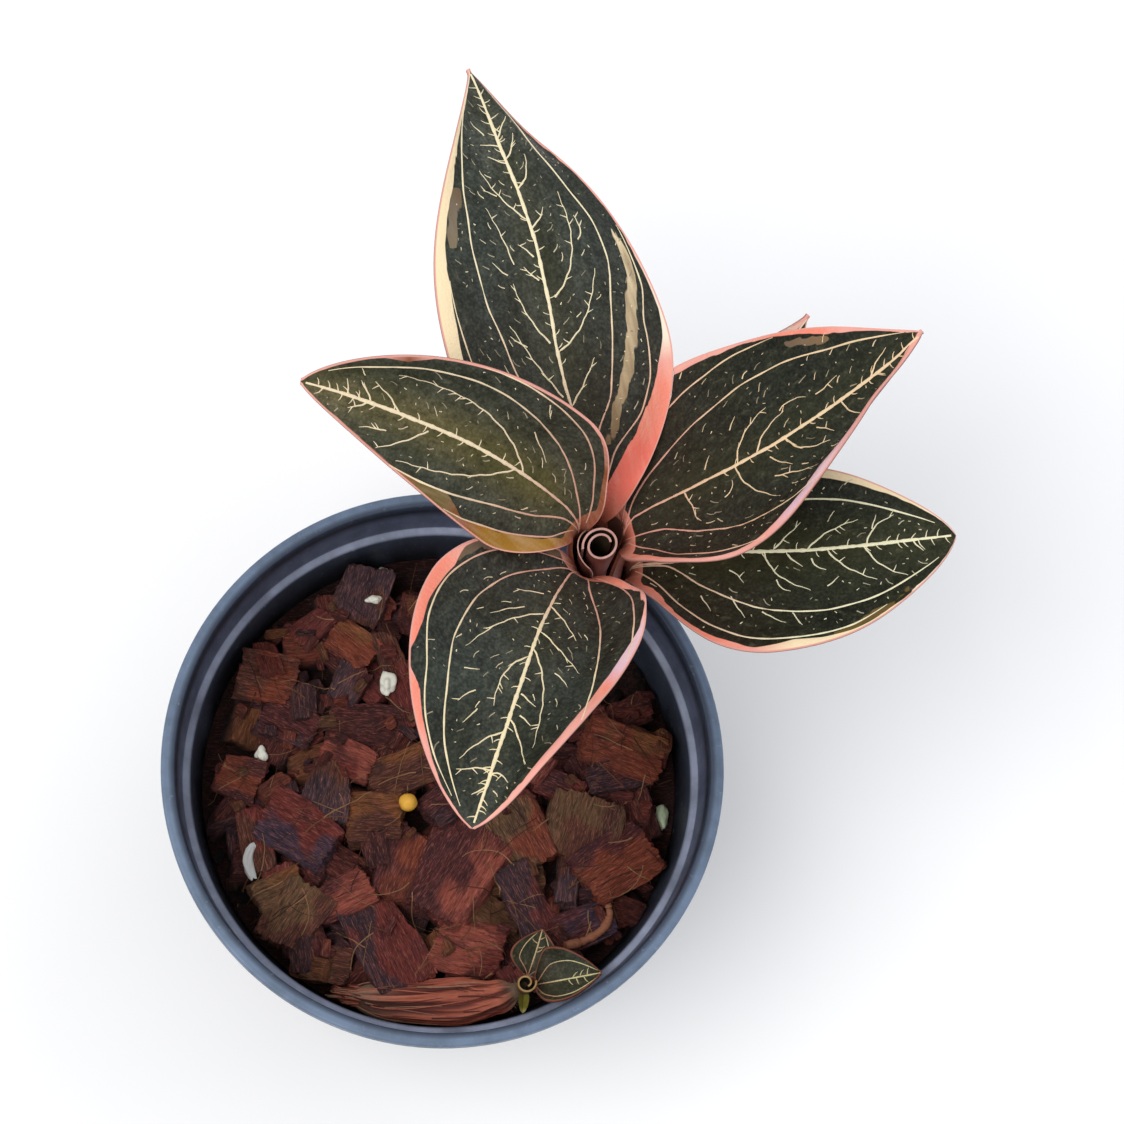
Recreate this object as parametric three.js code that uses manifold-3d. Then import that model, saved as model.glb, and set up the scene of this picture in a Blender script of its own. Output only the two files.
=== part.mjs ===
// A jewel orchid (Ludisia) in a round nursery pot of bark mix: the pot, the mix, the fleshy
// stem, six clasping leaves round a rolled new one, and a small offshoot lying on the bark.
// Millimetres, +Z up. The origin is the centre of the pot's flat underside.
import * as THREE from 'three';
import { mergeVertices } from 'three/addons/utils/BufferGeometryUtils.js';
import Module from 'manifold-3d';

const wasm = await Module();
wasm.setup();

// ---- driving dimensions -------------------------------------------------------------------
const GAP = 0.3; // air between pieces that touch

const RIM_RADIUS = 52.5;
const POT_HEIGHT = 76;
const BASE_RADIUS = 37;
const BASE_CHAMFER = 1.5;
const FLOOR = 1.8;
const WALL = 1.3;
const LIP_WIDTH = 2.6; // the flat band round the top
const LIP_OVERHANG = 1.2;
const LIP_HEIGHT = 3;
const LIP_ROUNDING = 0.6;
const COLLAR_DEPTH = 12; // from the rim down to the ledge inside
const COLLAR_TAPER = 0.9;
const LEDGE_WIDTH = 1.5;
const LEDGE_SLOPE = 0.4;
const LEDGE_FAIRING = 5; // height over which the ledge runs out into the wall below it
const POT_SIDES = 48;
const DRAIN_HOLES = 6;
const DRAIN_DIAMETER = 7.5;
const DRAIN_CIRCLE = 26;
const HANGER_DIAMETER = 3.2; // one hole for a wire, through the collar
const HANGER_AZIMUTH = 78;
const HANGER_DROP = 6;

const BED_TOP = 53; // the mix below the chips
const MIX_TOP = 54.5; // the level of the chips' centres
const CHIPS = 84;
const CHIP_LENGTH = [7.5, 14.5];
const CHIP_WIDTH = [5.5, 9];
const CHIP_THICKNESS = [4, 6.5];
const CHIP_TILT = 22;
const CHIP_ROUGHNESS = 0.16; // how far a corner strays, as a share of the chip
const CHIP_SPREAD = 44; // radius of the disc that the chips lie on
const CHIP_STRAY = 0.5; // how far a chip strays along its turn, in radians
const CHIP_LIFT = [-1.2, 0.5]; // a chip's centre above or below that level
const CHIP_CLEARANCE = 2; // between a chip's corners and the wall
const CHIP_SEED = 20;
const TOP_CHIP_TILT = 9;
const TOP_CHIP_LEVEL = 57;
const TOP_CHIPS = [ // the large chips in sight: x, y, turn in degrees, length, width, thickness
  [-34, 19.5, -12, 10, 9, 6], [-29, 11, -25, 11, 8, 5], [-18, 4.5, -25, 12, 7.5, 5],
  [-22, -2, 80, 12, 9, 5.5], [-26.5, -10, -30, 14.5, 11, 6], [-12, -7, 0, 10, 9.5, 6],
  [-38.5, 0, -20, 8, 8, 5], [2.5, -17.5, 60, 20, 14, 7], [-18, -22.5, 25, 11, 8.5, 6],
  [-10, -31.5, -65, 18, 12.5, 6], [-27, -26.5, 60, 12.5, 10, 6], [-30.5, -21, 25, 10, 6, 5],
  [-21.5, -35.5, -15, 9.5, 7.5, 5], [-7.5, 2.5, 25, 15, 8.5, 5.5], [-6.5, -16.5, 70, 14, 9, 5.5],
  [5, -32, -15, 13, 12, 6.5], [-15.5, 36.5, 75, 11, 9.5, 6], [-17.5, 26.5, -40, 9, 7, 5],
  [-9, 20.5, -68, 20, 5, 4.5], [-18, 19, 60, 8, 7, 4.5], [16, -10, -60, 14, 12, 6.5],
  [26.5, -8.5, 75, 12, 14.5, 6.5], [33.5, -15.5, 35, 17, 11, 6], [35, 7.5, -20, 16, 9, 5.5],
  [23, -0.5, -22, 10.5, 5.5, 4.5], [17, -24, -62, 17, 8, 6], [25, -18, 82, 12, 5, 5],
  [27.5, -27.5, 25, 12, 7, 5], [34.5, 1.5, 15, 13, 5.5, 4.5], [-24, -31, -70, 8, 6, 5],
  [-35, -12, -75, 13, 5, 4.5], [1, -4, 40, 9, 7, 5],
];

const STEM_FOOT = new THREE.Vector3(16, 20, 45); // in its hole in the mix
const CROWN = new THREE.Vector3(25.5, 30.5, 106); // where the stem ends in the new leaf
const STEM_UPRIGHT_FROM = 72; // below this height the stem leans
const STEM_RADIUS_FOOT = 4.7;
const STEM_RADIUS_TOP = 2.5;
const STEM_OLD_NODES = [56.5, 64]; // heights of the rings where leaves have dropped
const STEM_NODE_SWELL = 0.45;
const STEM_NODE_REACH = 1.2; // above and below a ring
const STEM_SIDES = 12;

const BLADE_THICKNESS = 0.8;
const MIDRIB_KEEL = 0.7;
const SHEATH_LENGTH = 5;
const SHEATH_FLARE = 1.1; // how far a sheath's mouth opens away from the stem
const SHEATH_WRAP = [150, 96]; // half of the angle it closes round, at its foot and mouth
const PETIOLE_WRAP = 62;
const PETIOLE_HALF_WIDTH = 2.7;
const TIP_HALF_WIDTH = 0.35;
const BEND_SHARE = 0.1; // the share of a blade in which it turns outward from its petiole
const PETIOLE_FADE = [8, 9]; // powers by which a petiole's width and curl give way to the blade
const MARGIN_FROM = 0.5; // share of the half width beyond which a margin lifts
const MARGIN_FADE = 5; // a margin lifts fully a fifth of the blade away from base and tip
const RIPPLE_SLANT = 2.2; // how far, in radians, a ripple is ahead on the left margin
const WALK_STEP = 0.25; // step along a midrib when its curve is followed

// Each leaf leaves the stem at height `node` towards `azimuth`, its petiole `erect` degrees
// above level. The blade turns down to `rise` and from there loses `droop` and turns sideways
// by `sweep` on its way to the tip. `half` is its half width, broadest at the share `widest`
// of its length, and a larger `taper` draws its tip out. `lean` moves width to its left side,
// `cup` curls the halves up, `roll` turns the blade about its midrib, `edges` lifts its right
// and left margins, and `wave` ripples them by so many mm from a phase.
const LEAVES = [
  { name: 'leaf_1', azimuth: 144.8, node: 102, erect: 88, petiole: 13, length: 58.9, half: 14.2,
    widest: 0.26, taper: 0.74, rise: 39.7, droop: 34.2, sweep: 27.5, roll: -17.2, cup: 18.1,
    lean: -0.05, edges: [3.3, -0.8], wave: [0.6, 0] },
  { name: 'leaf_2', azimuth: 101.4, node: 96.5, erect: 87, petiole: 15.5, length: 89.5, half: 22,
    widest: 0.38, taper: 1.14, rise: 18.3, droop: 32.6, sweep: 7.9, roll: 11.2, cup: 7.5,
    lean: 0.01, edges: [-3.6, 2.2], wave: [0.9, 1] },
  { name: 'leaf_3', azimuth: 27.2, node: 91, erect: 88, petiole: 19, length: 65.1, half: 21.9,
    widest: 0.34, taper: 0.97, rise: 28, droop: -2.5, sweep: 7.8, roll: -23.4, cup: 3.9,
    lean: 0.09, edges: [5.9, 0.4], wave: [0.8, 2] },
  { name: 'leaf_4', azimuth: 236.9, node: 85.5, erect: 90, petiole: 23.4, length: 60.5,
    half: 19.1, widest: 0.36, taper: 0.73, rise: 45.4, droop: 46.5, sweep: 20.2, roll: 4.6,
    cup: 12, lean: -0.15, edges: [2.3, 5.3], wave: [0.8, 3] },
  { name: 'leaf_5', azimuth: 2.2, node: 80, erect: 84, petiole: 18.7, length: 59, half: 17.4,
    widest: 0.44, taper: 0.7, rise: 16.6, droop: 9.9, sweep: 3, roll: -1.4, cup: 9.4, lean: -0.11,
    edges: [1.5, 0.7], wave: [0.9, 4] },
  { name: 'leaf_6', azimuth: 49, node: 74.5, erect: 80, petiole: 22, length: 53, half: 11,
    widest: 0.45, taper: 1.1, rise: 12, droop: 2, sweep: 2, roll: 40, cup: 16, lean: 0,
    edges: [1, 1], wave: [0.6, 5] },
];

const NEW_LEAF = {
  facing: 10, height: 15, turns: 1.5, core: 1.62, pitch: 1.02, wall: 0.6, foot: 0.85, slant: 2,
  stops: 26,
};

const OFFSHOOT_PATH = [
  new THREE.Vector3(-19.5, -40.6, 58.5),
  new THREE.Vector3(-9, -42.4, 59.6),
  new THREE.Vector3(3.5, -42.5, 60.4),
  new THREE.Vector3(11, -41.6, 60.8),
  new THREE.Vector3(15, -40.3, 62.4),
  new THREE.Vector3(15.7, -40, 66),
];
const OFFSHOOT_RADII = [1.5, 3.4, 4.3, 3, 1.7, 1.3];
const OFFSHOOT_STEPS = 14;
const OFFSHOOT_SIDES = 10;
const OFFSHOOT_LEAF_SCALE = 0.4; // of its petioles and midribs to those of the main shoot
const OFFSHOOT_LEAVES = [ // drop: from the offshoot's tip down to the foot of the leaf
  { name: 'offshoot_leaf_1', azimuth: 7, drop: 1.6, erect: 70, petiole: 1, length: 12.8,
    half: 5.3, widest: 0.3, taper: 0.85, rise: 27, droop: 20, sweep: 4, roll: 0, cup: 24,
    lean: 0.24, edges: [0.2, 0.2], wave: [0.2, 0] },
  { name: 'offshoot_leaf_2', azimuth: 70, drop: 3.6, erect: 60, petiole: 0.8, length: 9.2,
    half: 4.6, widest: 0.38, taper: 0.9, rise: 16, droop: 12, sweep: 6, roll: 0, cup: 12,
    lean: 0, edges: [0.2, 0.2], wave: [0.2, 1] },
];
const OFFSHOOT_NEW_LEAF = {
  facing: 300, height: 5, turns: 1.2, core: 0.75, pitch: 0.95, wall: 0.5, foot: 0.85, slant: 0.6,
  stops: 14,
};

const LOOKS = {
  pot: { color: 0x20242e, roughness: 0.5 },
  bark: { color: 0x54231a, roughness: 0.95 },
  stem: { color: 0x6a6a58, roughness: 0.5 },
  leaf: { color: 0x262c22, roughness: 0.42 },
  newLeaf: { color: 0x7a5348, roughness: 0.45 },
  husk: { color: 0x8c4f3c, roughness: 0.8 },
};

// ---- small tools --------------------------------------------------------------------------
const radians = THREE.MathUtils.degToRad;
const mix = THREE.MathUtils.lerp;
const smooth = (t) => THREE.MathUtils.smoothstep(t, 0, 1);

// A repeatable stream of numbers from 0 to 1.
function seeded(seed) {
  let state = seed;
  return () => {
    state = (state + 0x6d2b79f5) | 0;
    let bits = Math.imul(state ^ (state >>> 15), 1 | state);
    bits = (bits + Math.imul(bits ^ (bits >>> 7), 61 | bits)) ^ bits;
    return ((bits ^ (bits >>> 14)) >>> 0) / 4294967296;
  };
}

function toSolid(geometry) {
  const bare = new THREE.BufferGeometry();
  bare.setAttribute('position', geometry.getAttribute('position').clone());
  bare.setIndex(geometry.index ? geometry.index.clone() : null);
  const welded = mergeVertices(bare, 1e-4);
  return new wasm.Manifold(new wasm.Mesh({
    numProp: 3,
    vertProperties: new Float32Array(welded.getAttribute('position').array),
    triVerts: new Uint32Array(welded.index.array),
  }));
}

function toGeometry(solid) {
  const { vertProperties, triVerts } = solid.getMesh();
  const geometry = new THREE.BufferGeometry();
  geometry.setAttribute('position', new THREE.BufferAttribute(new Float32Array(vertProperties), 3));
  geometry.setIndex(new THREE.BufferAttribute(new Uint32Array(triVerts), 1));
  return geometry;
}

// The main body of a solid, without loose scraps that a cut left.
function largestBody(solid) {
  return solid.decompose().reduce((best, body) => (body.volume() > best.volume() ? body : best));
}

// A closed solid from points and triangles.
function meshSolid(points, triangles) {
  const geometry = new THREE.BufferGeometry().setFromPoints(points);
  geometry.setIndex(triangles);
  return geometry;
}

// A body of rings with the same number of points, one above the other, closed by fans.
function loft(rings) {
  const sides = rings[0].length;
  const points = rings.flat();
  const triangles = [];
  for (let i = 0; i + 1 < rings.length; i += 1) {
    for (let j = 0; j < sides; j += 1) {
      const a = i * sides + j;
      const b = i * sides + ((j + 1) % sides);
      triangles.push(a, b, b + sides, a, b + sides, a + sides);
    }
  }
  const last = (rings.length - 1) * sides;
  for (let j = 1; j + 1 < sides; j += 1) {
    triangles.push(0, j + 1, j, last, last + j, last + j + 1);
  }
  return meshSolid(points, triangles);
}

// A thin sheet from rows of [upper, lower] points, split into triangles alike on both faces.
function sheet(rows) {
  const across = rows[0].length;
  const points = rows.flat(2);
  const at = (i, j, face) => (i * across + j) * 2 + face;
  const triangles = [];
  const quad = (a, b, c, d) => triangles.push(a, b, c, a, c, d);
  for (let i = 0; i + 1 < rows.length; i += 1) {
    for (let j = 0; j + 1 < across; j += 1) {
      quad(at(i, j, 0), at(i + 1, j, 0), at(i + 1, j + 1, 0), at(i, j + 1, 0));
      quad(at(i, j, 1), at(i, j + 1, 1), at(i + 1, j + 1, 1), at(i + 1, j, 1));
    }
    const j = across - 1;
    quad(at(i, 0, 1), at(i + 1, 0, 1), at(i + 1, 0, 0), at(i, 0, 0));
    quad(at(i, j, 0), at(i + 1, j, 0), at(i + 1, j, 1), at(i, j, 1));
  }
  const i = rows.length - 1;
  for (let j = 0; j + 1 < across; j += 1) {
    quad(at(0, j, 1), at(0, j, 0), at(0, j + 1, 0), at(0, j + 1, 1));
    quad(at(i, j, 0), at(i, j, 1), at(i, j + 1, 1), at(i, j + 1, 0));
  }
  return meshSolid(points, triangles);
}

// ---- pot ----------------------------------------------------------------------------------
const wallTop = POT_HEIGHT - LIP_HEIGHT;
const outerRadius = (z) => mix(BASE_RADIUS, RIM_RADIUS - LIP_OVERHANG, z / wallTop);
const innerRadius = (z) => outerRadius(z) - WALL;

function potGeometry() {
  const ledge = POT_HEIGHT - COLLAR_DEPTH;
  const collar = RIM_RADIUS - LIP_WIDTH;
  const profile = [
    [0, 0],
    [BASE_RADIUS - BASE_CHAMFER, 0],
    [outerRadius(BASE_CHAMFER), BASE_CHAMFER],
    [outerRadius(wallTop), wallTop],
    [RIM_RADIUS, wallTop + LIP_ROUNDING],
    [RIM_RADIUS, POT_HEIGHT - LIP_ROUNDING],
    [RIM_RADIUS - LIP_ROUNDING, POT_HEIGHT],
    [collar + LIP_ROUNDING, POT_HEIGHT],
    [collar, POT_HEIGHT - LIP_ROUNDING],
    [collar - COLLAR_TAPER, ledge],
    [collar - COLLAR_TAPER - LEDGE_WIDTH, ledge - LEDGE_SLOPE],
    [innerRadius(ledge - LEDGE_FAIRING), ledge - LEDGE_FAIRING],
    [innerRadius(FLOOR), FLOOR],
    [0, FLOOR],
  ].map(([radius, z]) => new THREE.Vector2(radius, z));
  let pot = toSolid(new THREE.LatheGeometry(profile, POT_SIDES).rotateX(Math.PI / 2));
  for (let i = 0; i < DRAIN_HOLES; i += 1) {
    const turn = (i / DRAIN_HOLES) * 2 * Math.PI;
    const drill = new THREE.CylinderGeometry(DRAIN_DIAMETER / 2, DRAIN_DIAMETER / 2, 10, 14);
    drill.rotateX(Math.PI / 2);
    drill.translate(DRAIN_CIRCLE * Math.cos(turn), DRAIN_CIRCLE * Math.sin(turn), FLOOR / 2);
    pot = pot.subtract(toSolid(drill));
  }
  const drill = new THREE.CylinderGeometry(HANGER_DIAMETER / 2, HANGER_DIAMETER / 2, 12, 12);
  drill.translate(0, RIM_RADIUS, 0);
  drill.rotateZ(radians(HANGER_AZIMUTH - 90));
  drill.translate(0, 0, POT_HEIGHT - HANGER_DROP);
  return toGeometry(pot.subtract(toSolid(drill)));
}

// ---- stem ---------------------------------------------------------------------------------
// The stem's centre at a height: it leans at first and then stands upright.
function stemCentre(z) {
  const climbed = THREE.MathUtils.clamp((z - STEM_FOOT.z) / (STEM_UPRIGHT_FROM - STEM_FOOT.z), 0, 1);
  const across = 1 - (1 - climbed) ** 2;
  return new THREE.Vector3(mix(STEM_FOOT.x, CROWN.x, across), mix(STEM_FOOT.y, CROWN.y, across), z);
}

const stemRadius = (z) => mix(
  STEM_RADIUS_FOOT, STEM_RADIUS_TOP, (z - STEM_FOOT.z) / (CROWN.z - STEM_FOOT.z),
);

function ring(centre, radius, along, sides) {
  const turn = new THREE.Quaternion().setFromUnitVectors(new THREE.Vector3(0, 0, 1), along);
  return Array.from({ length: sides }, (_, i) => {
    const angle = (i / sides) * 2 * Math.PI;
    const spoke = new THREE.Vector3(Math.cos(angle), Math.sin(angle), 0).multiplyScalar(radius);
    return spoke.applyQuaternion(turn).add(centre);
  });
}

// The stem: below the leaves its old nodes stand out as rings, above them it is smooth.
function stemGeometry(extra = 0) {
  const ringed = STEM_OLD_NODES.flatMap((z) => [z - STEM_NODE_REACH, z, z + STEM_NODE_REACH]);
  const plain = [STEM_FOOT.z, 50, 60.5, 68, STEM_UPRIGHT_FROM, 90, CROWN.z];
  const heights = [...ringed, ...plain].sort((a, b) => a - b);
  const rings = heights.map((z) => {
    const along = stemCentre(z + 0.5).sub(stemCentre(z - 0.5)).normalize();
    const swell = STEM_OLD_NODES.includes(z) ? STEM_NODE_SWELL : 0;
    return ring(stemCentre(z), stemRadius(z) + swell + extra, along, STEM_SIDES);
  });
  return loft(rings);
}

// ---- leaves -------------------------------------------------------------------------------
const ACROSS = [-1, -0.78, -0.5, -0.22, 0, 0.22, 0.5, 0.78, 1];

// Half width of a blade as a share of its widest, from its rounded base to its drawn-out tip.
function outline(t, widest, taper) {
  const inner = Math.sin(Math.min(t / widest, 1) * Math.PI / 2) ** 0.7;
  const outer = Math.sin(Math.min((1 - t) / (1 - widest), 1) * Math.PI / 2) ** taper;
  return inner * outer;
}

// Distances along a leaf at which its section is drawn.
function leafStations(leaf, sheath) {
  const steps = (from, to, count) => Array.from(
    { length: count }, (_, i) => mix(from, to, i / count),
  );
  const bladeFrom = sheath + leaf.petiole;
  const near = bladeFrom + 0.14 * leaf.length;
  const end = bladeFrom + leaf.length;
  const small = sheath === 0;
  return [
    ...steps(0, sheath, small ? 0 : 2), ...steps(sheath, bladeFrom, small ? 1 : 3),
    ...steps(bladeFrom, near, small ? 2 : 4), ...steps(near, end, small ? 6 : 11), end,
  ];
}

// Rows of a leaf: a sheath that clasps the stem, a channelled petiole and the blade.
function leafRows(leaf, { axis, clasp, sheath, scale, extra = 0 }) {
  const azimuth = radians(leaf.azimuth);
  const bladeFrom = sheath + leaf.petiole;
  const mouth = sheath > 0 ? Math.PI / 2 - Math.asin(SHEATH_FLARE / sheath) : 0;
  const pitchAt = (s) => {
    if (s < sheath) return mouth;
    const t = Math.max(0, (s - bladeFrom) / leaf.length);
    const unbent = Math.max(0, 1 - t / BEND_SHARE) ** 2;
    return radians(mix(leaf.rise - leaf.droop * t, leaf.erect, unbent));
  };
  const headingAt = (s) => azimuth
    + radians(leaf.sweep) * Math.max(0, (s - bladeFrom) / leaf.length);
  const point = new THREE.Vector3(Math.cos(azimuth), Math.sin(azimuth), 0)
    .multiplyScalar(clasp).add(axis);
  let travelled = 0;
  return leafStations(leaf, sheath).map((s) => {
    while (travelled < s - 1e-9) {
      const step = Math.min(WALK_STEP, s - travelled);
      const middle = travelled + step / 2;
      point.addScaledVector(direction(pitchAt(middle), headingAt(middle)), step);
      travelled += step;
    }
    const section = { s, point, pitch: pitchAt(s), heading: headingAt(s) };
    return leafSection(leaf, section, { clasp, sheath, scale, extra });
  });
}

function direction(pitch, heading) {
  return new THREE.Vector3(
    Math.cos(pitch) * Math.cos(heading), Math.cos(pitch) * Math.sin(heading), Math.sin(pitch),
  );
}

// Half the angle that a leaf's section curls round, and half its width measured round the curl.
function sectionSize(leaf, s, t, toPetiole, { clasp, sheath, scale, extra }) {
  if (s < sheath) {
    const wrap = radians(mix(...SHEATH_WRAP, s / sheath));
    return { wrap, half: wrap * (clasp + 0.5 * SHEATH_FLARE * s / sheath) + extra };
  }
  const petiole = PETIOLE_HALF_WIDTH * scale;
  const mouthWrap = sheath > 0 ? SHEATH_WRAP[1] : PETIOLE_WRAP;
  const mouth = sheath > 0 ? radians(mouthWrap) * (clasp + 0.5 * SHEATH_FLARE) : petiole;
  const [widthFade, curlFade] = PETIOLE_FADE;
  const stalk = mix(mouth, petiole, toPetiole) * (1 - t) ** widthFade;
  const wrap = mix(leaf.cup, mix(mouthWrap, PETIOLE_WRAP, toPetiole), (1 - t) ** curlFade);
  const half = Math.hypot(stalk, leaf.half * outline(t, leaf.widest, leaf.taper));
  return { wrap: radians(wrap), half: Math.max(half, TIP_HALF_WIDTH) + extra };
}

// One row across a leaf: pairs of points on its upper and lower face.
function leafSection(leaf, { s, point, pitch, heading }, shoot) {
  const t = THREE.MathUtils.clamp((s - shoot.sheath - leaf.petiole) / leaf.length, 0, 1);
  const along = direction(pitch, heading);
  const toPetiole = smooth((s - shoot.sheath) / leaf.petiole);
  const left = new THREE.Vector3(-Math.sin(heading), Math.cos(heading), 0)
    .applyAxisAngle(along, radians(leaf.roll) * toPetiole);
  const up = new THREE.Vector3().crossVectors(along, left);
  const { wrap, half } = sectionSize(leaf, s, t, toPetiole, shoot);
  const [rippleHeight, ripplePhase] = leaf.wave;
  const ends = smooth(t * MARGIN_FADE) * smooth((1 - t) * MARGIN_FADE);
  return ACROSS.map((v) => {
    const side = half * (1 + Math.sign(v) * leaf.lean * smooth(t * 4));
    const bend = Math.abs(v) * wrap;
    const margin = ends * smooth((Math.abs(v) - MARGIN_FROM) / (1 - MARGIN_FROM));
    const ripple = rippleHeight * Math.sin(ripplePhase + RIPPLE_SLANT * v + 4 * Math.PI * t);
    const lift = margin * (leaf.edges[v < 0 ? 0 : 1] + ripple);
    const centre = new THREE.Vector3().copy(point)
      .addScaledVector(left, Math.sign(v) * (side / wrap) * Math.sin(bend))
      .addScaledVector(up, (side / wrap) * (1 - Math.cos(bend)) + lift);
    const normal = new THREE.Vector3().copy(up).multiplyScalar(Math.cos(bend))
      .addScaledVector(left, -Math.sign(v) * Math.sin(bend));
    const keel = v === 0 ? MIDRIB_KEEL * shoot.scale * smooth((1 - t) * 1.5) : 0;
    const thickness = BLADE_THICKNESS / 2 + shoot.extra;
    return [
      centre.clone().addScaledVector(normal, thickness),
      centre.clone().addScaledVector(normal, -thickness - keel),
    ];
  });
}

function shootOf(leaf) {
  const clasp = stemRadius(leaf.node) + GAP + BLADE_THICKNESS / 2 + MIDRIB_KEEL / 2;
  return { axis: stemCentre(leaf.node), clasp, sheath: SHEATH_LENGTH, scale: 1 };
}

// Leaves from the youngest down: each gives way to those above it.
function leafSolids(leaves, carrierOf) {
  const solids = [];
  const above = [];
  for (const leaf of leaves) {
    const carrier = carrierOf(leaf);
    let solid = toSolid(sheet(leafRows(leaf, carrier)));
    for (const younger of above) solid = solid.subtract(younger);
    solids.push(largestBody(solid));
    above.push(toSolid(sheet(leafRows(leaf, { ...carrier, extra: GAP }))));
  }
  return solids;
}

// A new leaf still rolled up: a band wound in a spiral, open at its mouth.
function rolledLeaf(leaf, axis) {
  const levels = 4;
  const facing = radians(leaf.facing);
  const rows = Array.from({ length: leaf.stops + 1 }, (_, i) => {
    const share = i / leaf.stops;
    const angle = facing + share * leaf.turns * 2 * Math.PI;
    const spoke = new THREE.Vector3(Math.cos(angle), Math.sin(angle), 0);
    return Array.from({ length: levels + 1 }, (__, j) => {
      const climb = j / levels;
      const open = mix(leaf.foot, 1, smooth(climb));
      const radius = (leaf.core + leaf.pitch * share * leaf.turns) * open;
      const top = leaf.height - leaf.slant * (1 - Math.cos(angle - facing)) / 2;
      const centre = axis.clone().addScaledVector(spoke, radius);
      centre.z += climb * top;
      return [
        centre.clone().addScaledVector(spoke, leaf.wall / 2),
        centre.clone().addScaledVector(spoke, -leaf.wall / 2),
      ];
    });
  });
  return sheet(rows);
}

// ---- offshoot -----------------------------------------------------------------------------
// The shoot in its papery husk, lying on the bark and turning up at its growing end.
function offshootGeometry(extra = 0) {
  const path = new THREE.CatmullRomCurve3(OFFSHOOT_PATH);
  const last = OFFSHOOT_RADII.length - 1;
  const rings = Array.from({ length: OFFSHOOT_STEPS + 1 }, (_, i) => {
    const share = i / OFFSHOOT_STEPS;
    const low = Math.min(Math.floor(share * last), last - 1);
    const radius = mix(OFFSHOOT_RADII[low], OFFSHOOT_RADII[low + 1], smooth(share * last - low));
    return ring(path.getPoint(share), radius + extra, path.getTangent(share), OFFSHOOT_SIDES);
  });
  return loft(rings);
}

const offshootTip = OFFSHOOT_PATH.at(-1);

function offshootShootOf(leaf) {
  const clasp = OFFSHOOT_RADII.at(-1) + GAP + BLADE_THICKNESS / 2;
  const axis = offshootTip.clone().setZ(offshootTip.z - leaf.drop);
  return { axis, clasp, sheath: 0, scale: OFFSHOOT_LEAF_SCALE };
}

// ---- bark mix -----------------------------------------------------------------------------
// A chip: a box whose corners stray, turned, tilted and set in its place.
function chipGeometry(size, turn, centre, random) {
  const box = new THREE.BoxGeometry(size.x, size.y, size.z);
  const chip = mergeVertices(box.deleteAttribute('normal').deleteAttribute('uv'));
  const corners = chip.getAttribute('position');
  const stray = (share) => 1 + share * CHIP_ROUGHNESS * (2 * random() - 1);
  for (let k = 0; k < corners.count; k += 1) {
    corners.setXYZ(
      k, corners.getX(k) * stray(1), corners.getY(k) * stray(2), corners.getZ(k) * stray(2),
    );
  }
  chip.applyQuaternion(new THREE.Quaternion().setFromEuler(turn));
  return chip.translate(centre.x, centre.y, centre.z);
}

// Small chips on a sunflower spiral, each turned and tilted at random and sunk into the bed,
// and the large ones on top of them.
function chipGeometries() {
  const random = seeded(CHIP_SEED);
  const between = ([low, high]) => mix(low, high, random());
  const tilt = (most) => radians(most) * (2 * random() - 1);
  const goldenAngle = Math.PI * (3 - Math.sqrt(5));
  const small = Array.from({ length: CHIPS }, (_, i) => {
    const size = new THREE.Vector3(
      between(CHIP_LENGTH), between(CHIP_WIDTH), between(CHIP_THICKNESS),
    );
    const reach = innerRadius(MIX_TOP) - CHIP_CLEARANCE - Math.hypot(size.x, size.y) / 2;
    const radius = Math.min(reach, CHIP_SPREAD * Math.sqrt((i + 0.5) / CHIPS));
    const angle = i * goldenAngle + CHIP_STRAY * random();
    const turn = new THREE.Euler(tilt(CHIP_TILT), tilt(CHIP_TILT), Math.PI * random(), 'ZYX');
    const centre = new THREE.Vector3(
      radius * Math.cos(angle), radius * Math.sin(angle), MIX_TOP + between(CHIP_LIFT),
    );
    return chipGeometry(size, turn, centre, random);
  });
  const large = TOP_CHIPS.map(([x, y, heading, ...sides]) => {
    const turn = new THREE.Euler(
      tilt(TOP_CHIP_TILT), tilt(TOP_CHIP_TILT), radians(heading), 'ZYX',
    );
    const centre = new THREE.Vector3(x, y, TOP_CHIP_LEVEL);
    return chipGeometry(new THREE.Vector3(...sides), turn, centre, random);
  });
  return [...small, ...large];
}

// A body that fills the pot from its floor up to a height, clear of the wall.
function filling(top) {
  const bottom = FLOOR + GAP;
  const straight = POT_HEIGHT - COLLAR_DEPTH - LEDGE_FAIRING; // the wall's taper ends here
  const profile = [[0, bottom]];
  for (const z of [bottom, Math.min(top, straight)]) profile.push([innerRadius(z) - GAP, z]);
  if (top > straight) profile.push([innerRadius(straight) - GAP, top]);
  profile.push([0, top]);
  const points = profile.map(([radius, z]) => new THREE.Vector2(radius, z));
  return toSolid(new THREE.LatheGeometry(points, POT_SIDES).rotateX(Math.PI / 2));
}

function barkMixGeometry() {
  let bed = filling(BED_TOP);
  for (const chip of chipGeometries()) bed = bed.add(toSolid(chip));
  bed = bed.intersect(filling(POT_HEIGHT));
  bed = bed.subtract(toSolid(stemGeometry(GAP)));
  bed = bed.subtract(toSolid(offshootGeometry(GAP)));
  return toGeometry(largestBody(bed));
}

// ---- assembly -----------------------------------------------------------------------------
const group = new THREE.Group();

function place(name, geometry, look) {
  geometry.deleteAttribute('normal');
  geometry.deleteAttribute('uv');
  const solid = mergeVertices(geometry, 1e-5);
  solid.computeVertexNormals();
  const mesh = new THREE.Mesh(solid, new THREE.MeshStandardMaterial({ ...look, metalness: 0 }));
  mesh.name = name;
  group.add(mesh);
}

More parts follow.
